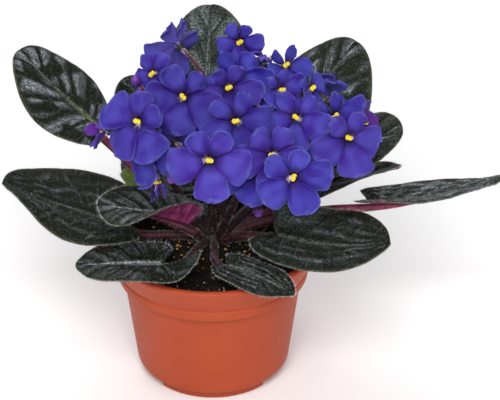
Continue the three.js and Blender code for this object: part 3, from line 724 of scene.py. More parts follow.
def soil():
    hole = CROWN_RADIUS + SEAT
    edge = RIM_RADIUS - 5 - SEAT
    wall = [[r - SEAT, max(z, FLOOR + SEAT)] for r, z in reversed(INSIDE[2:])]
    rings = linspace(edge, hole, SOIL_RINGS)
    heights = SOIL_LEVEL + array([1.2, 1.6, 1.2, 0.6, 0, -1])
    top = np.interp(rings, [hole, hole + 3, 22, 33, 44, edge], heights)
    well = [[hole, HOLE_BOTTOM], [AXIS, HOLE_BOTTOM]]
    profile = [[AXIS, FLOOR + SEAT], *wall, *stack([rings, top], axis=1), *well]
    points, faces = lathe(profile, SOIL_SIDES)
    x, y, z = points.T
    radius = hypot(x, y)
    free = (z > SOIL_LEVEL - 2) & (radius > hole + 1) & (radius < edge - 0.5)
    grain = sin(x * 0.61 + y * 0.23) + sin(y * 0.83 - x * 0.37)
    rough = ripple(points, 3.2, 3, 12) * 0.55 + ripple(points, 1.5, 4, 12) * 0.35
    points[free, 2] += (0.5 * SOIL_GRAIN * grain + rough)[free]
    tint = blend(SOIL_DARK, SOIL_LIGHT, 0.5 + 0.5 * ripple(points, 5.0, 5, 10))
    material = tinted(
        "soil", grain=900, contrast=0.6, bump=0.8, roughness=0.9, specular=0.15, spread=0.08
    )
    place(build("soil", points, faces, tint, [material]), "soil", "soil")
    crumbs(points, faces, material)


# A rough eight-faced crumb
CRUMB = array([[1, 0, 0], [-1, 0, 0], [0, 1, 0], [0, -1, 0], [0, 0, 1], [0, 0, -1]], float)
CRUMB_FACES = [[0, 2, 4], [2, 1, 4], [1, 3, 4], [3, 0, 4], [2, 0, 5], [1, 2, 5], [3, 1, 5], [0, 3, 5]]


def crumbs(points, faces, material):
    """Crumbs of peat and bark, with a few pale and tan bits"""
    x, y, z = points[faces].mean(axis=1).T
    radius = hypot(x, y)
    on_top = faces[(z > SOIL_LEVEL - 3) & (radius > CROWN_RADIUS + 2) & (radius < CRUMB_REACH)]
    spots, _ = scatter(points, on_top, CRUMBS)
    heap = Heap()
    for spot in spots:
        size = rng.gamma(3.0, 0.13) + 0.16
        kind = rng.random()
        tint = blend(CRUMB_DARK, CRUMB_LIGHT, rng.random() ** 2)
        near = hump(hypot(spot[0], spot[1]) - 12, 14)
        if kind > PALE_CRUMBS_FROM:
            tint = array(CRUMB_PALE) * rng.uniform(0.5, 1.3)
            size = rng.uniform(0.25, 0.6)
        elif kind > TAN_CRUMBS_FROM - 0.09 * near:
            tint = array(CRUMB_TAN) * rng.uniform(0.4, 1.3)
            size = rng.uniform(0.35, 0.9)
        turn = np.linalg.qr(rng.normal(size=(3, 3)))[0]
        turn[:, 0] *= np.sign(np.linalg.det(turn))
        shape = CRUMB * rng.uniform(0.6, 1.3, size=(6, 1)) * [1.3, 0.9, 0.75]
        heap.add(spot + [0, 0, 0.25 * size] + shape @ turn.T * size, CRUMB_FACES, tint)
    place(build("soil_crumbs", *heap.arrays(), [material], flat=True), "soil")


# Leaves

def leaf_frame(leaf, share):
    """The blade's ways forward, aside and up, at a share of its length"""
    along = clip(share, 0, 1)
    heading = radians(leaf.heading + leaf.turn * along)
    pitch = radians(leaf.pitch + leaf.bend * along)
    roll = radians(leaf.roll)
    forward = direction(heading, pitch)
    level = stack([sin(heading), -cos(heading), np.zeros_like(heading)], axis=-1)
    upright = np.cross(level, forward)
    side = level * cos(roll) + upright * sin(roll)
    return forward, side, upright * cos(roll) - level * sin(roll)


def midrib(leaf, share):
    share = asarray(share, float)
    step = 1 / MIDRIB_STEPS
    middles = (np.arange(MIDRIB_STEPS) + 0.5) * step
    runs = leaf_frame(leaf, middles)[0] * (step * leaf.length)
    table = concatenate([[np.zeros(3)], np.cumsum(runs, axis=0)])
    ahead = clip(share, 0, 1)
    whole = clip(np.floor(ahead / step + 1e-9).astype(int), 0, MIDRIB_STEPS)
    rest = maximum(ahead - whole * step, 0)
    forward = leaf_frame(leaf, whole * step + rest / 2)[0]
    point = array(leaf.base, float) + table[whole] + forward * (rest * leaf.length)[..., None]
    behind = np.minimum(share, 0)[..., None] * leaf.length
    forward, _, up = leaf_frame(leaf, np.zeros_like(share))
    tuck = radians(leaf.tuck) * clip(-share / TUCK_FULL, 0, 1)[..., None]
    return point + forward * behind * cos(tuck) - up * behind * sin(tuck)


def sided(pair, half):
    """The value of a pair, left and right, that belongs to each point"""
    return array(pair, float)[(half > 0).astype(int)]


def blade(leaf, vein, out, half):
    """Points of the blade; vein is 0 at the stalk and 1 at the tip, out 1 on the margin"""
    lobe = sided(leaf.lobes, half)
    theta = pi * (1 - vein**MARGIN_SPREAD)
    c = cos(theta)
    notch = smooth(theta, radians(leaf.notch), pi)
    margin = WIDEST + np.where(c > 0, 1 - WIDEST, WIDEST + lobe) * c + lobe * notch
    power = np.where(c > 0, leaf.taper, leaf.blunt)
    full = maximum(sin(theta), 0) ** power * (1 - TIP_NARROWING * maximum(c, 0) ** 2)
    past = clip((theta - radians(ROUND_FROM)) / radians(ROUND_TO - ROUND_FROM), 0, 1)
    least = ROUND_LEAST * np.minimum((pi - theta) / radians(180 - ROUND_TO), 1)
    rounded = maximum(full * np.sqrt(1 - past**2), np.minimum(least, full))
    across = full + (rounded - full) * sided(leaf.round, half)
    root = 0.04 + 0.96 * vein**ROOT_SPREAD
    along = root + (margin - root) * out
    reach = across * out
    slope = radians(sided(leaf.rise, half) + sided(leaf.unfold, half) * clip(along, 0, 1))
    curl = radians(sided(leaf.curl, half))
    curl = np.where(np.abs(curl) < 1e-6, 1e-3, curl)
    width = (sin(slope + curl * reach) - sin(slope)) / curl
    lift = (cos(slope) - cos(slope + curl * reach)) / curl
    wave = leaf.wave * out**3 * sin(WAVES * vein + 2 * half + leaf.heading)
    _, side, up = leaf_frame(leaf, along)
    aside = side * (half * width * leaf.width / 2)[..., None]
    return midrib(leaf, along) + aside + up * (lift * leaf.width / 2 + wave)[..., None]


def with_ends(values, first, last):
    return concatenate([[first], values.ravel(), [last]])


def leaf_sheet(leaf):
    """The upper face: points, triangles, and for each point its u, out and half"""
    rows = np.arange(1, BLADE_ROWS) / BLADE_ROWS
    columns = np.arange(-BLADE_COLUMNS, BLADE_COLUMNS + 1)
    u, column = np.meshgrid(rows, columns, indexing="ij")
    out = np.abs(column) / BLADE_COLUMNS
    half = np.where(column < 0, -1, 1)
    points = blade(leaf, u**ROW_SPREAD, out, half).reshape(-1, 3)
    wide = len(columns)
    tip = len(points) + 1
    ends = []
    for i in range(wide - 1):
        ends.append((0, 2 + i, 1 + i))
        ends.append((tip, tip - wide + i, tip - wide + i + 1))
    points = concatenate([midrib(leaf, np.zeros(1)), points, midrib(leaf, np.ones(1))])
    faces = concatenate([grid_faces(len(rows), wide) + 1, array(ends)])
    return points, faces, with_ends(u, 0, 1), with_ends(out, 0, 0), with_ends(half, 1, 1)


def leaf_relief(leaf, points, u, out, half):
    """The height of panels that stand up between sunk veins, and where each point is in a panel"""
    seed = int(abs(leaf.heading) * 7 + leaf.length)
    phase = SIDE_VEINS * u + 0.12 * half + 0.12 * ripple(points, 22.0, seed)
    panel = np.abs(sin(pi * phase))
    inner = smooth(out, 0.03, 0.2) * (1 - 0.7 * smooth(out, 0.8, 1.0))
    size = leaf.length / 60
    net = ripple(points, 3.4, seed + 1, 10)
    height = size * (0.85 * panel**0.6 * inner + 0.13 * net * inner)
    height -= 0.45 * size * hump(out * leaf.width / 2, 1.3) * smooth(u, 0.0, 0.1)
    return height, phase, panel, inner, net


def silver_sheen_share(leaf, out, between, inner, net, patchy, streak, grain):
    """A band of painted sheen in each panel, in patches and streaks"""
    end = 0.5 + 0.25 * smooth(out, 0.1, 0.6)
    band = smooth(between, 0.1, 0.2) * (1 - smooth(between, end, end + 0.14))
    silver = leaf.silver * inner * band * smooth(patchy, 0.2, 0.5)
    silver *= (0.4 + 0.8 * smooth(streak, 0.25, 0.75)) * (0.55 + 0.6 * grain**2 + 0.3 * net)
    return clip(silver, 0, 1)


def highlight_line_share(leaf, points, u, out, between, patchy, streak, seed):
    """Painted highlights: the light caught by hairs along the side veins, beside the midrib and on
    lengthwise folds
    """
    beside = np.minimum(np.abs(between - 0.13), np.abs(between - 1.13))
    line = hump(beside, 0.05) * smooth(out, 0.05, 0.3) * (1 - smooth(out, 0.75, 0.98))
    line = leaf.lines * line * smooth(patchy, 0.2, 0.7) * smooth(streak, 0.1, 0.6)
    ridge = hump(out * leaf.width / 2 - 1.1, 0.9) * smooth(u, 0.04, 0.15)
    wander = out + 0.05 * ripple(points, 18.0, seed + 4)
    # Painted highlight lines on lengthwise folds
    fold = hump(sin(FOLD_LINES * pi * wander), 0.4) * smooth(out, 0.12, 0.2)
    fold *= smooth(u, 0.1, 0.3) * (1 - smooth(u, 0.85, 0.98)) * (1 - smooth(out, 0.85, 0.95))
    fold *= 0.25 + 0.75 * smooth(ripple(points, 14.0, seed + 5), -0.3, 0.4)
    return maximum(line, maximum(leaf.ridge * ridge, leaf.folds * fold))


def leaf_tint(leaf, points, u, out, half, phase, panel, inner, net):
    """Dark green and grey, with painted sheen between the veins, painted highlights on the hairs along
    the veins, the midrib and folds, a painted sheen patch on one half and a pale margin
    """
    seed = int(leaf.width * 3 + leaf.length)
    grain = np.random.default_rng(seed).random(len(points))
    patchy = 0.5 + 0.5 * ripple(points, 16.0, seed)
    lengthwise = stack([phase * 5, out * 1.6, 0 * out], axis=1)
    streak = 0.5 + 0.5 * ripple(lengthwise, 2.2, seed + 3, 12)
    between = phase % 1
    silver = silver_sheen_share(leaf, out, between, inner, net, patchy, streak, grain)
    # Painted highlight lines, where hairs catch the light
    line = highlight_line_share(leaf, points, u, out, between, patchy, streak, seed) * (0.35 + 0.65 * grain)
    # A painted sheen patch near the base of one half, added to the grey tone
    frost = smooth(out, 0.2, 0.5) * smooth(u, 0.05, 0.15) * (1 - smooth(u, 0.35, 0.55)) * (half < 0)
    grey = leaf.grey * (0.5 + 0.5 * patchy) + leaf.frost * frost * (0.4 + 0.6 * grain)
    rib = hump(out * leaf.width / 2, 1.7) * (1 - smooth(u, 0.15, 0.95))
    return layered(
        LEAF_DARK,
        (LEAF_GREY, grey),
        (LEAF_SILVER_SHEEN, silver),
        (LEAF_VEIN, (1 - smooth(panel, 0.0, 0.3)) * inner * 0.7),
        (LEAF_LINE_HIGHLIGHT, clip(line, 0, 1)),
        (LEAF_MARGIN, 0.7 * smooth(out, 0.94, 1.0)),
        (LEAF_RIB, leaf.rib * rib),
        (array(LEAF_YOUNG) * (0.6 + 0.5 * panel[..., None]), leaf.young),
    )


def under_tint(leaf, points, u, out, panel):
    """Wine red, paler along the veins, with a dull base and a pale margin"""
    clouds = 0.7 + 0.6 * ripple(points, 9.0, 41)[:, None] ** 2
    return layered(
        blend(LEAF_UNDER, array(LEAF_UNDER) * 1.7, 1 - smooth(panel, 0.0, 0.4)) * clouds,
        (LEAF_MARGIN, 0.9 * smooth(out, 0.92, 1.0)),
        (LEAF_GREY, leaf.dull_base * (1 - smooth(u, 0.12, 0.3))),
        (array(LEAF_YOUNG) * 0.8, leaf.young),
    )


def leaf_piece(name, leaf, materials, fuzz):
    sheet, faces, u, out, half = leaf_sheet(leaf)
    height, phase, panel, inner, net = leaf_relief(leaf, sheet, u, out, half)
    top = sheet + vertex_normals(sheet, faces) * height[:, None]
    points, every, normals = thicken(top, faces, BLADE_THICKNESS * (1 - 0.45 * out**4))
    upper = leaf_tint(leaf, sheet, u, out, half, phase, panel, inner, net)
    tint = concatenate([upper, under_tint(leaf, sheet, u, out, panel)])
    indices = np.repeat([0, 1], [len(faces), len(every) - len(faces)])
    place(build("leaf_" + name, points, every, tint, materials, indices), "leaf", "leaf_" + name)
    leaf_fuzz(leaf, top, faces, normals, u, fuzz)


def leaf_fuzz(leaf, top, faces, normals, u, fuzz):
    """Short pale hairs all over the upper face, and a fringe on both margins"""
    forward = leaf_frame(leaf, u)[0]
    area = np.linalg.norm(long_normals(top, faces), axis=1).sum() / 2
    count = int(area * LEAF_HAIRS)
    roots, chosen = scatter(top, faces, count)
    corner = faces[chosen, 0]
    lean = normals[corner] + 0.35 * forward[corner] + 0.45 * rng.normal(size=(count, 3))
    hairs(fuzz, roots, lean, rng.uniform(0.6, 1.4, count), HAIR_WIDTH, 0.8)
    wide = 2 * BLADE_COLUMNS + 1
    for first, inward in ((1, 2), (wide, -2)):
        edge = np.arange(first, first + wide * (BLADE_ROWS - 1), wide)
        run = np.linalg.norm(np.diff(top[edge], axis=0), axis=1).sum()
        spot = rng.random(int(run * MARGIN_HAIRS)) * (len(edge) - 1)
        low = np.floor(spot).astype(int)
        part = (spot - low)[:, None]
        start = edge[low]
        end = edge[np.minimum(low + 1, len(edge) - 1)]
        roots = top[start] * (1 - part) + top[end] * part
        away = unit(top[start] - top[start + inward])
        lean = away + 0.25 * normals[start] + 0.4 * rng.normal(size=roots.shape)
        length = rng.uniform(0.7, 2.4, len(roots))
        hairs(fuzz, roots - 0.1 * away, lean, length, HAIR_WIDTH, 0.85)


# Blooms

def bloom_frame(bloom):
    """The ways to the bloom's right, up and forward"""
    heading, pitch, spin = radians([bloom.heading, bloom.pitch, bloom.spin])
    facing = direction(heading, pitch)
    right = array([-sin(heading), cos(heading), 0])
    up = np.cross(facing, right)
    turned = right * cos(spin) + up * sin(spin)
    return stack([turned, np.cross(facing, turned), facing])


def bloom_centre(name, bloom, basis):
    """Where the bloom was set: the tip of its tube lies on its axis in the solid"""
    points = array([v.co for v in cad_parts["bloom_" + name].data.vertices]) / MM
    sight = array([bloom.x, bloom.y, bloom.z], float)
    offset = points - sight
    axial = offset @ basis[2]
    radial = np.linalg.norm(offset - np.outer(axial, basis[2]), axis=1)
    push = axial[radial < 0.3].min() + FLOWER_TUBE
    return sight + basis[2] * push


def lobe_width(along):
    low = 0.45 * sin(pi / 2 * (along / LOBE_WIDEST) ** 1.05)
    past = clip((along - LOBE_WIDEST) / (1 - LOBE_WIDEST), 0, 1)
    return np.where(along < LOBE_WIDEST, low, 0.45 * np.sqrt(maximum(1 - past**2.4, 0)))


def lobe_form(bloom, number, angle, reach, broad):
    """The sheet of one lobe, with its own turn, twist, cup and ruffle"""
    size = bloom.size
    curl = radians(bloom.curl) or 1e-3
    q = sin(linspace(0, pi / 2, LOBE_ROWS))
    q, t = np.meshgrid(q, linspace(-1, 1, LOBE_COLUMNS + 1), indexing="ij")
    seed = abs(number * 13 + int(size * 7 + bloom.heading + 3 * bloom.x))
    draw = np.random.default_rng(seed)
    turn = radians(angle + draw.uniform(-5, 5))
    upper = angle < 180
    reach = reach * draw.uniform(0.99, 1.09)
    start = radians(bloom.start) + radians(draw.uniform(-10, 11) + 12 * upper)
    broad = broad * (1 - 0.09 * upper) * draw.uniform(0.94, 1.06)
    twist, cup, tip = draw.uniform([-0.28, -0.34, -0.2], [0.28, 0.08, 0.12])
    flap = draw.uniform(-0.5, 0.5)
    along = 0.1 + 0.9 * q
    dent = 1 - 0.07 * draw.random() * hump(t, 0.3) * q**6
    across = broad * lobe_width(along) * t * (1 + 0.04 * sin(7 * q + seed))
    run = along * reach * dent * (1 + 0.022 * sin(8 * t + seed) * q**4)
    radial = size * (sin(start + curl * run) - sin(start)) / curl
    wide = size * across * reach * cos(start) ** CLOSED_NARROWING
    outline = clip((along - 0.45) / 0.55, 0, 1)
    edge = maximum(np.abs(t), outline) ** 2
    order = 3 + 3 * t * (1 - outline)
    ruffle = sin(2.3 * order + 1.7 * number + bloom.heading + size)
    ripples = sin(3.7 * order + seed) * edge
    forward = size * (cos(start) - cos(start + curl * run)) / curl
    forward += size * along * (0.06 * ruffle * edge + 0.035 * ripples)
    forward += (twist + 0.3 / size) * wide * smooth(along, 0.15, 0.5)
    forward += size * along * (cup * t * t + tip * outline**2)
    forward += size * flap * maximum(np.sign(flap) * t - 0.35, 0) * along * 0.8
    forward -= 0.024 * size * hump(t, 0.12) * smooth(along, 0.2, 0.6)
    forward += 0.012 * size * sin(6 * along + 5 * t + seed) * along
    forward -= 0.9 * (1 - smooth(along, 0.08, 0.24))
    x = radial * cos(turn) - wide * sin(turn)
    y = radial * sin(turn) + wide * cos(turn)
    points = stack([x, y, forward], axis=-1)
    return SimpleNamespace(
        points=points, t=t, along=along, outline=outline, edge=edge, twist=twist, seed=seed
    )


def lobe_tint(form, size, fade, pale_at):
    """Blue with darker streaks and clouds, painted shade in crevices and on the lee side, a painted
    highlight on the edge and painted shade round the throat; then the back
    """
    t = form.t
    along = form.along
    streak = np.abs(sin(5.5 * pi * t * (1 - 0.3 * along))) * smooth(along, 0.15, 0.5)
    cloud = 0.5 + 0.5 * ripple(form.points, 9.0, form.seed)
    # Painted shade in the crevices between lobes and on the lee side of a twisted lobe
    crevice_shade = smooth(np.abs(t), 0.55, 1.0) * (1 - smooth(along, 0.3, 0.75))
    lee_shade = smooth(t * np.sign(form.twist), 0.1, 1.0) * (1 - 0.6 * form.outline)
    shade = 0.75 * cloud * (1 - 0.5 * form.outline) + 0.14 * (1 - streak) + 0.8 * crevice_shade + 0.35 * lee_shade
    x = form.points[..., 0]
    y = form.points[..., 1]
    radius = hypot(x, y) / size
    pale = hypot(x - pale_at[0], y - pale_at[1]) / size
    top = layered(
        PETAL_BLUE,
        (PETAL_SHADE, clip(shade, 0, 1)),
        (PETAL_PURPLE, fade),
        # Painted highlight along the edge
        (PETAL_EDGE_HIGHLIGHT, 0.55 * smooth(form.edge, 0.72, 1.0) * (1 - 0.8 * crevice_shade)),
        # Painted shade round the throat
        (PETAL_THROAT_SHADE, 0.9 * (1 - smooth(radius, 0.12, 0.4))),
        (THROAT_PALE, 1 - smooth(pale, 0.045, 0.085)),
    )
    back = layered(
        PETAL_BACK, (PETAL_PURPLE, 0.5 * fade), (PETAL_BLUE, 0.35 * smooth(along, 0.6, 1.0))
    )
    return concatenate([top.reshape(-1, 3), back.reshape(-1, 3)])


def funnel(size, pale_at, heap):
    """The tube behind the lobes and the throat in front, with painted shade inside the throat round its
    pale patch
    """
    shares = linspace(0, 1, 7)
    radius = 0.9 + (0.15 * size - 0.9) * shares**2.2
    height = -FLOWER_TUBE + (FLOWER_TUBE - 0.9) * shares
    rings = [(AXIS, -FLOWER_TUBE), *zip(radius, height)]
    rings += [(0.12 * size, -0.7), (0.1 * size, -0.8), (0.08 * size, -0.95), (0.06 * size, -1.05)]
    rings += [(0.035 * size, -1.25), (AXIS, -1.4)]
    points, faces = lathe(rings, FUNNEL_SIDES)
    x, y, z = points.T
    tint = np.tile(blend(PETAL_BACK, THROAT_PALE, 0.12), (len(points), 1))
    inside = (hypot(x, y) < 0.125 * size) & (z > -1.45)
    away = hypot(x - pale_at[0], y - pale_at[1]) / size
    tint[inside] = blend(PETAL_THROAT_SHADE, THROAT_PALE, 1 - smooth(away, 0.04, 0.085))[inside]
    heap.add(points, faces, tint)


def ball(radii, centre, rows, columns):
    """An egg-shaped body with its poles on z"""
    theta = linspace(0.02, pi - 0.02, rows)
    points, faces = lathe(stack([sin(theta), -cos(theta)], axis=1), columns)
    return points * radii + centre, faces


def anthers(bloom, heap):
    """Two plump yellow anthers on pale filaments, and a thin dark style beside them"""
    lean = 0.6 * sin(bloom.heading + bloom.size)
    turn = radians(40 * sin(3 * bloom.x + bloom.y))
    swing = array([[cos(turn), sin(turn), 0], [-sin(turn), cos(turn), 0], [0, 0, 1]])
    for hand in (-1, 1):
        centre = array([0.85 * hand, -0.3, 1.6 + 0.4 * hand * sin(bloom.x)])
        points, faces = ball((1.2, 1.35, 1.25), centre, rows=9, columns=14)
        crease = hump(points[:, 0] - centre[0], 0.3) * (points[:, 2] > centre[2])
        points[:, 2] -= 0.5 * crease
        lumps = 1 + 0.09 * ripple(points, 1.3, 61)
        points = centre + (points - centre) * lumps[:, None]
        # The crease is painted darker as well as sunk: painted shade
        tint = array(ANTHER_YELLOW) * (1 - 0.4 * crease[:, None])
        heap.add(points @ swing + [0, lean, 0], faces, tint)
        base = array([0.5 * hand, -0.5, -1.0])
        points, faces, _ = tube(linspace(base, centre, 5), [0.6, 0.55, 0.5, 0.4, 0.3], 7)
        heap.add(points @ swing + [0, 0.5 * lean, 0], faces, THROAT_PALE)
    side = 1 if sin(7 * bloom.x + bloom.z) > 0 else -1
    way = [[0.3 * side, 0.6, -1], [1.5 * side, 1.5, 1.4], [2.8 * side, 2.6, 3.6]]
    points, faces, _ = tube(catmull(way, linspace(0, 1, 7)), linspace(0.36, 0.22, 7), 6)
    heap.add(points, faces, STYLE_DARK)


def calyx(bloom, centre, basis, heap):
    """Five narrow sepals round the back of the tube"""
    s = linspace(0, 1, SEPAL_ROWS)[:, None]
    half = 0.85 * sin(pi * (0.15 + 0.85 * s)) ** 0.8
    for i in range(SEPALS):
        angle = 2 * pi * (i + 0.5) / SEPALS + bloom.spin * 0.02
        out = array([cos(angle), sin(angle), 0])
        across = array([-sin(angle), cos(angle), 0])
        middle = out * (0.95 + 2.1 * s**1.4) + array([0, 0, 1.0]) * (-FLOWER_TUBE + 0.2 + 4.6 * s)
        sheet = stack([middle - across * half, middle + out * 0.25, middle + across * half], axis=1)
        points, faces, _ = thicken(sheet.reshape(-1, 3), grid_faces(SEPAL_ROWS, 3), SEPAL_THICKNESS)
        tint = blend(STALK_GREEN, STALK_DARK, 0.5 + 0.3 * sin(i + bloom.x))
        heap.add(centre + points @ basis, faces, tint)


def bloom_piece(name, bloom, materials, sepals):
    basis = bloom_frame(bloom)
    centre = bloom_centre(name, bloom, basis)
    draw = np.random.default_rng(int(abs(bloom.x * 31 + bloom.z * 17)))
    fade = max(PURPLE.get(name, 0.0), 0.22 * draw.random())
    aside = draw.uniform(0, 2 * pi)
    pale_at = 0.05 * bloom.size * array([cos(aside), sin(aside)])
    broad = draw.uniform(0.95, 1.09)
    petals = Heap()
    lobe_faces = grid_faces(LOBE_ROWS, LOBE_COLUMNS + 1)[:, ::-1]
    for number, (angle, reach) in enumerate(LOBES):
        form = lobe_form(bloom, number, angle, reach * FULLER.get(name, 1.0), broad)
        points, faces, _ = thicken(form.points.reshape(-1, 3), lobe_faces, PETAL_THICKNESS)
        petals.add(points, faces, lobe_tint(form, bloom.size, fade, pale_at))
    funnel(bloom.size, pale_at, petals)
    middle = Heap()
    anthers(bloom, middle)
    first = petals.arrays()
    second = middle.arrays()
    points = centre + concatenate([first[0], second[0]]) @ basis
    faces = concatenate([first[1], second[1] + len(first[0])])
    tint = concatenate([first[2] * draw.uniform(0.88, 1.12), second[2]])
    indices = np.repeat([0, 1], [len(first[1]), len(second[1])])
    place(build("bloom_" + name, points, faces, tint, materials, indices), "petal", "bloom_" + name)
    calyx(bloom, centre, basis, sepals)
    return centre, basis


# Stalks

cad_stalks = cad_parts["stalks"].data
stalk_tree = BVHTree.FromPolygons(
    [v.co for v in cad_stalks.vertices], [p.vertices[:] for p in cad_stalks.polygons]
)


def stray(points, radii, steps):
    """How far the rings of a stalk through the points would lie outside the solid stalks"""
    shares = linspace(0, 1, steps + 1)[1:-1]
    rings = zip(catmull(points, shares), radii_at(radii, shares))
    return max(stalk_tree.find_nearest(Vector(c * MM))[3] / MM - r for c, r in rings)


def bent_like_solid(points, radii, steps):
    """The points with their inner ones bent aside the way the solid stalk is"""
    points = asarray(points, float)
    along = unit(points[-1] - points[0])
    across = unit(np.cross(along, [0, 0, 1]))
    over = np.cross(across, along)
    best = points
    least = stray(points, radii, steps) - LEAST_GAIN
    for bend in BENDS:
        for turn in range(BEND_TURNS):
            angle = 2 * pi * turn / BEND_TURNS
            bent = points.copy()
            bent[1:-2] += bend * (across * cos(angle) + over * sin(angle))
            off = stray(bent, radii, steps)
            if off < least:
                best = bent
                least = off
    return best


def add_stalk(heap, fuzz, points, radii, steps, colour, thick=STALK_SHARE):
    """A fine tube through the points, that runs from dark to the colour, and its hairs"""
    shares = linspace(0, 1, steps + 1)
    centres = catmull(points, shares)
    surface, faces, outward = tube(centres, radii_at(radii, shares) * thick)
    mottled = 0.5 + 0.5 * ripple(surface, 6.0, 21)
    share = np.append(np.repeat(shares, TUBE_SIDES), [0, 1])
    heap.add(surface, faces, blend(STALK_DARK, colour, share) * (0.5 + 0.9 * mottled)[:, None])
    length = np.linalg.norm(np.diff(centres, axis=0), axis=1).sum()
    count = int(length * STALK_HAIRS)
    chosen = rng.integers(TUBE_SIDES * 2, len(surface) - 2, count)
    ahead = unit(np.gradient(centres, axis=0))[np.minimum(chosen // TUBE_SIDES, steps)]
    slide = ahead * rng.uniform(-0.5, 0.5, (count, 1)) * length / steps
    lean = outward[chosen] + 0.3 * rng.normal(size=(count, 3)) + 0.25 * ahead
    hairs(fuzz, surface[chosen] + slide, lean, rng.uniform(0.6, 1.5, count), STALK_HAIR_WIDTH, 1)


def add_pedicel(heap, fuzz, points):
    """The short stalk of a bloom or a bud"""
    add_stalk(heap, fuzz, points, PEDICEL_RADII, PEDICEL_STEPS, PEDICEL_RED, PEDICEL_SHARE)


def crown_edge(way):
    """Where a stalk that leaves this way starts in the crown, and its unit direction"""
    out = unit([way[0], way[1], 0])
    return out * STALK_START + [0, 0, CROWN_TOP - STALK_SINK], out


def under_blade(leaf, share, radius):
    """The centre of a stalk or rib of this radius that runs along under the blade"""
    share = array(share, float)
    return midrib(leaf, share) - leaf_frame(leaf, share)[2] * (BLADE_THICKNESS + radius + SEAT)


def leaf_stalk_line(leaf):
    """A cubic curve from the crown to the blade, then on beneath the blade"""
    start, out = crown_edge(leaf.base)
    seat = under_blade(leaf, 0, leaf.stalk)
    run = np.linalg.norm(seat - start)
    first = start + out * run * 0.3 + [0, 0, run * 0.16]
    second = seat - leaf_frame(leaf, array(0.0))[0] * run * 0.3
    points = []
    for t in linspace(0, 1, 5):
        s = 1 - t
        points.append(s**3 * start + 3 * t * s**2 * first + 3 * t * t * s * second + t**3 * seat)
    points.append(under_blade(leaf, 0.2, leaf.stalk * 0.7))
    points.append(under_blade(leaf, 0.5, LEAF_RIB_RADIUS))
    return points, [share * leaf.stalk for share in LEAF_STALK_TAPER] + [LEAF_RIB_RADIUS]


def peduncle_line(branch):
    root, out = crown_edge(branch)
    way = branch - root
    points = [root, root + way * 0.35 - out * 3, root + way * 0.7 - out * 2, branch]
    return bent_like_solid(points, PEDUNCLE_RADII, PEDUNCLE_FIT_STEPS)


def pedicel_line(branch, centre, basis):
    back = centre - basis[2] * (FLOWER_TUBE + SEAT)
    points = [branch, branch + (back - branch) * 0.4, back - basis[2] * NECK / 2, back]
    return bent_like_solid(points, PEDICEL_RADII, PEDICEL_FIT_STEPS)


def bud_line(branch, tip):
    middle = branch + (array(tip, float) - branch) * 0.6 + [0, 0, 4]
    points = [branch, branch + (middle - branch) * 0.5, middle, tip]
    return bent_like_solid(points, PEDICEL_RADII, PEDICEL_FIT_STEPS)


def bud(heap, line):
    """A closed bud: a violet tip with a painted highlight, in five dark sepals"""
    ahead = unit(line[-1] - line[-2])
    side = unit(np.cross(ahead, [0.2, 0.9, 0.1]))
    basis = stack([side, np.cross(ahead, side), ahead])
    radii = BUD_RADIUS * array([0.92, 0.92, 1.15])
    points, faces = ball(radii, 0, rows=12, columns=16)
    x, y, z = points.T
    folds = sin(5 * np.arctan2(y, x))
    tip = smooth(z / radii[2] + 0.25 * folds, -0.2, 0.15)
    tint = layered(BUD_SEPALS, (BUD_VIOLET, tip), (BUD_TIP_HIGHLIGHT, 0.5 * smooth(z, 1.8, 3.4)))
    points *= (1 + 0.04 * folds)[:, None]
    heap.add(line[-1] + points @ basis, faces, tint)


def crown(heap):
    profile = [
        [AXIS, CROWN_ROOT],
        [CROWN_RADIUS - 1, CROWN_ROOT],
        [CROWN_RADIUS, CROWN_ROOT + 3],
        [CROWN_RADIUS, CROWN_TOP - STALK_SINK],
        [CROWN_RADIUS - 3, CROWN_TOP - 1],
        [AXIS, CROWN_TOP],
    ]
    points, faces = lathe(round_corners(profile, size=1.5), CROWN_SIDES)
    points[:, :2] *= (1 + 0.04 * ripple(points, 5.0, 31))[:, None]
    # The crown's colour is darkened to a painted shade, as it lies deep under the leaves
    heap.add(points, faces, blend(STALK_DARK, STALK_GREEN, 0.3) * 0.35)


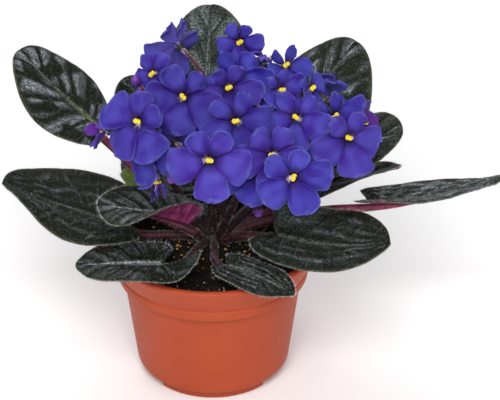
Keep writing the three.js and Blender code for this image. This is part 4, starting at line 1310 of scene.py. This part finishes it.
def make_plant():
    looks = {name: tinted(name, **row) for name, row in PLANT_LOOKS.items()}
    leaf_hairs = Heap()
    stalk_hairs = Heap()
    stems = Heap()
    sepals = Heap()
    crown(stems)
    for name, row in LEAVES.items():
        leaf = SimpleNamespace(**{**LEAF_HABIT, **row})
        upper = looks["leaf_under" if leaf.young else "leaf"]
        leaf_piece(name, leaf, [upper, looks["leaf_under"]], leaf_hairs)
        points, radii = leaf_stalk_line(leaf)
        colour = blend(STALK_DARK, STALK_PINK, leaf.pink)
        add_stalk(stems, stalk_hairs, points, radii, LEAF_STALK_STEPS, colour)
    for row in TRUSSES:
        points = peduncle_line(row.branch)
        add_stalk(stems, stalk_hairs, points, PEDUNCLE_RADII, PEDUNCLE_STEPS, STALK_DARK)
        for name, bloom in row.blooms.items():
            centre, basis = bloom_piece(name, bloom, [looks["petal"], looks["anther"]], sepals)
            add_pedicel(stems, stalk_hairs, pedicel_line(row.branch, centre, basis))
        for tip in row.buds:
            points = bud_line(row.branch, tip)
            add_pedicel(stems, stalk_hairs, points)
            bud(stems, points)
    place(build("stalks", *stems.arrays(), [looks["stalk"]]), "stalk", "stalks")
    place(build("calyxes", *sepals.arrays(), [looks["stalk"]]), "stalk")
    place(build("leaf_hairs", *leaf_hairs.arrays(), [looks["hair"]]), "leaf")
    place(build("stalk_hairs", *stalk_hairs.arrays(), [looks["hair"]]), "stalk")


# Studio

def stand(thing, place_at, way):
    """Links a light or camera into the scene at its place, looking along the way"""
    thing.location = place_at
    thing.rotation_euler = way.to_track_quat("-Z", "Y").to_euler()
    bpy.context.scene.collection.objects.link(thing)


def studio():
    bpy.ops.mesh.primitive_plane_add(size=30, location=(0, 0, -0.0002))
    floor = bpy.context.object
    floor.name = "floor"
    look = Look("floor")
    look.fill(look.shader, {"Base Color": FLOOR_WHITE, "Roughness": 0.9, "Specular IOR Level": 0.1})
    floor.data.materials.append(look.material)

    world = bpy.data.worlds.new("studio")
    bpy.context.scene.world = world
    world.use_nodes = True
    background = world.node_tree.nodes["Background"]
    background.inputs["Color"].default_value = (1, 1, 1, 1)
    background.inputs["Strength"].default_value = WORLD_STRENGTH

    for name, place_at, size, power in LIGHTS:
        lamp = bpy.data.lights.new(name, "AREA")
        lamp.size = size
        lamp.energy = power
        stand(bpy.data.objects.new(name, lamp), place_at, Vector(LIT_SPOT) - Vector(place_at))

    elevation = radians(CAMERA_ELEVATION)
    ahead = Vector((0, cos(elevation), -sin(elevation)))
    camera = bpy.data.cameras.new("camera")
    camera.lens = LENS_MM
    camera.sensor_width = SENSOR_MM
    camera.clip_end = 50
    eye = bpy.data.objects.new("camera", camera)
    stand(eye, Vector(CAMERA_AIM) - ahead * CAMERA_DISTANCE, ahead)
    bpy.context.scene.camera = eye
    bpy.context.scene.view_settings.view_transform = "Standard"


pot()
soil()
make_plant()
studio()
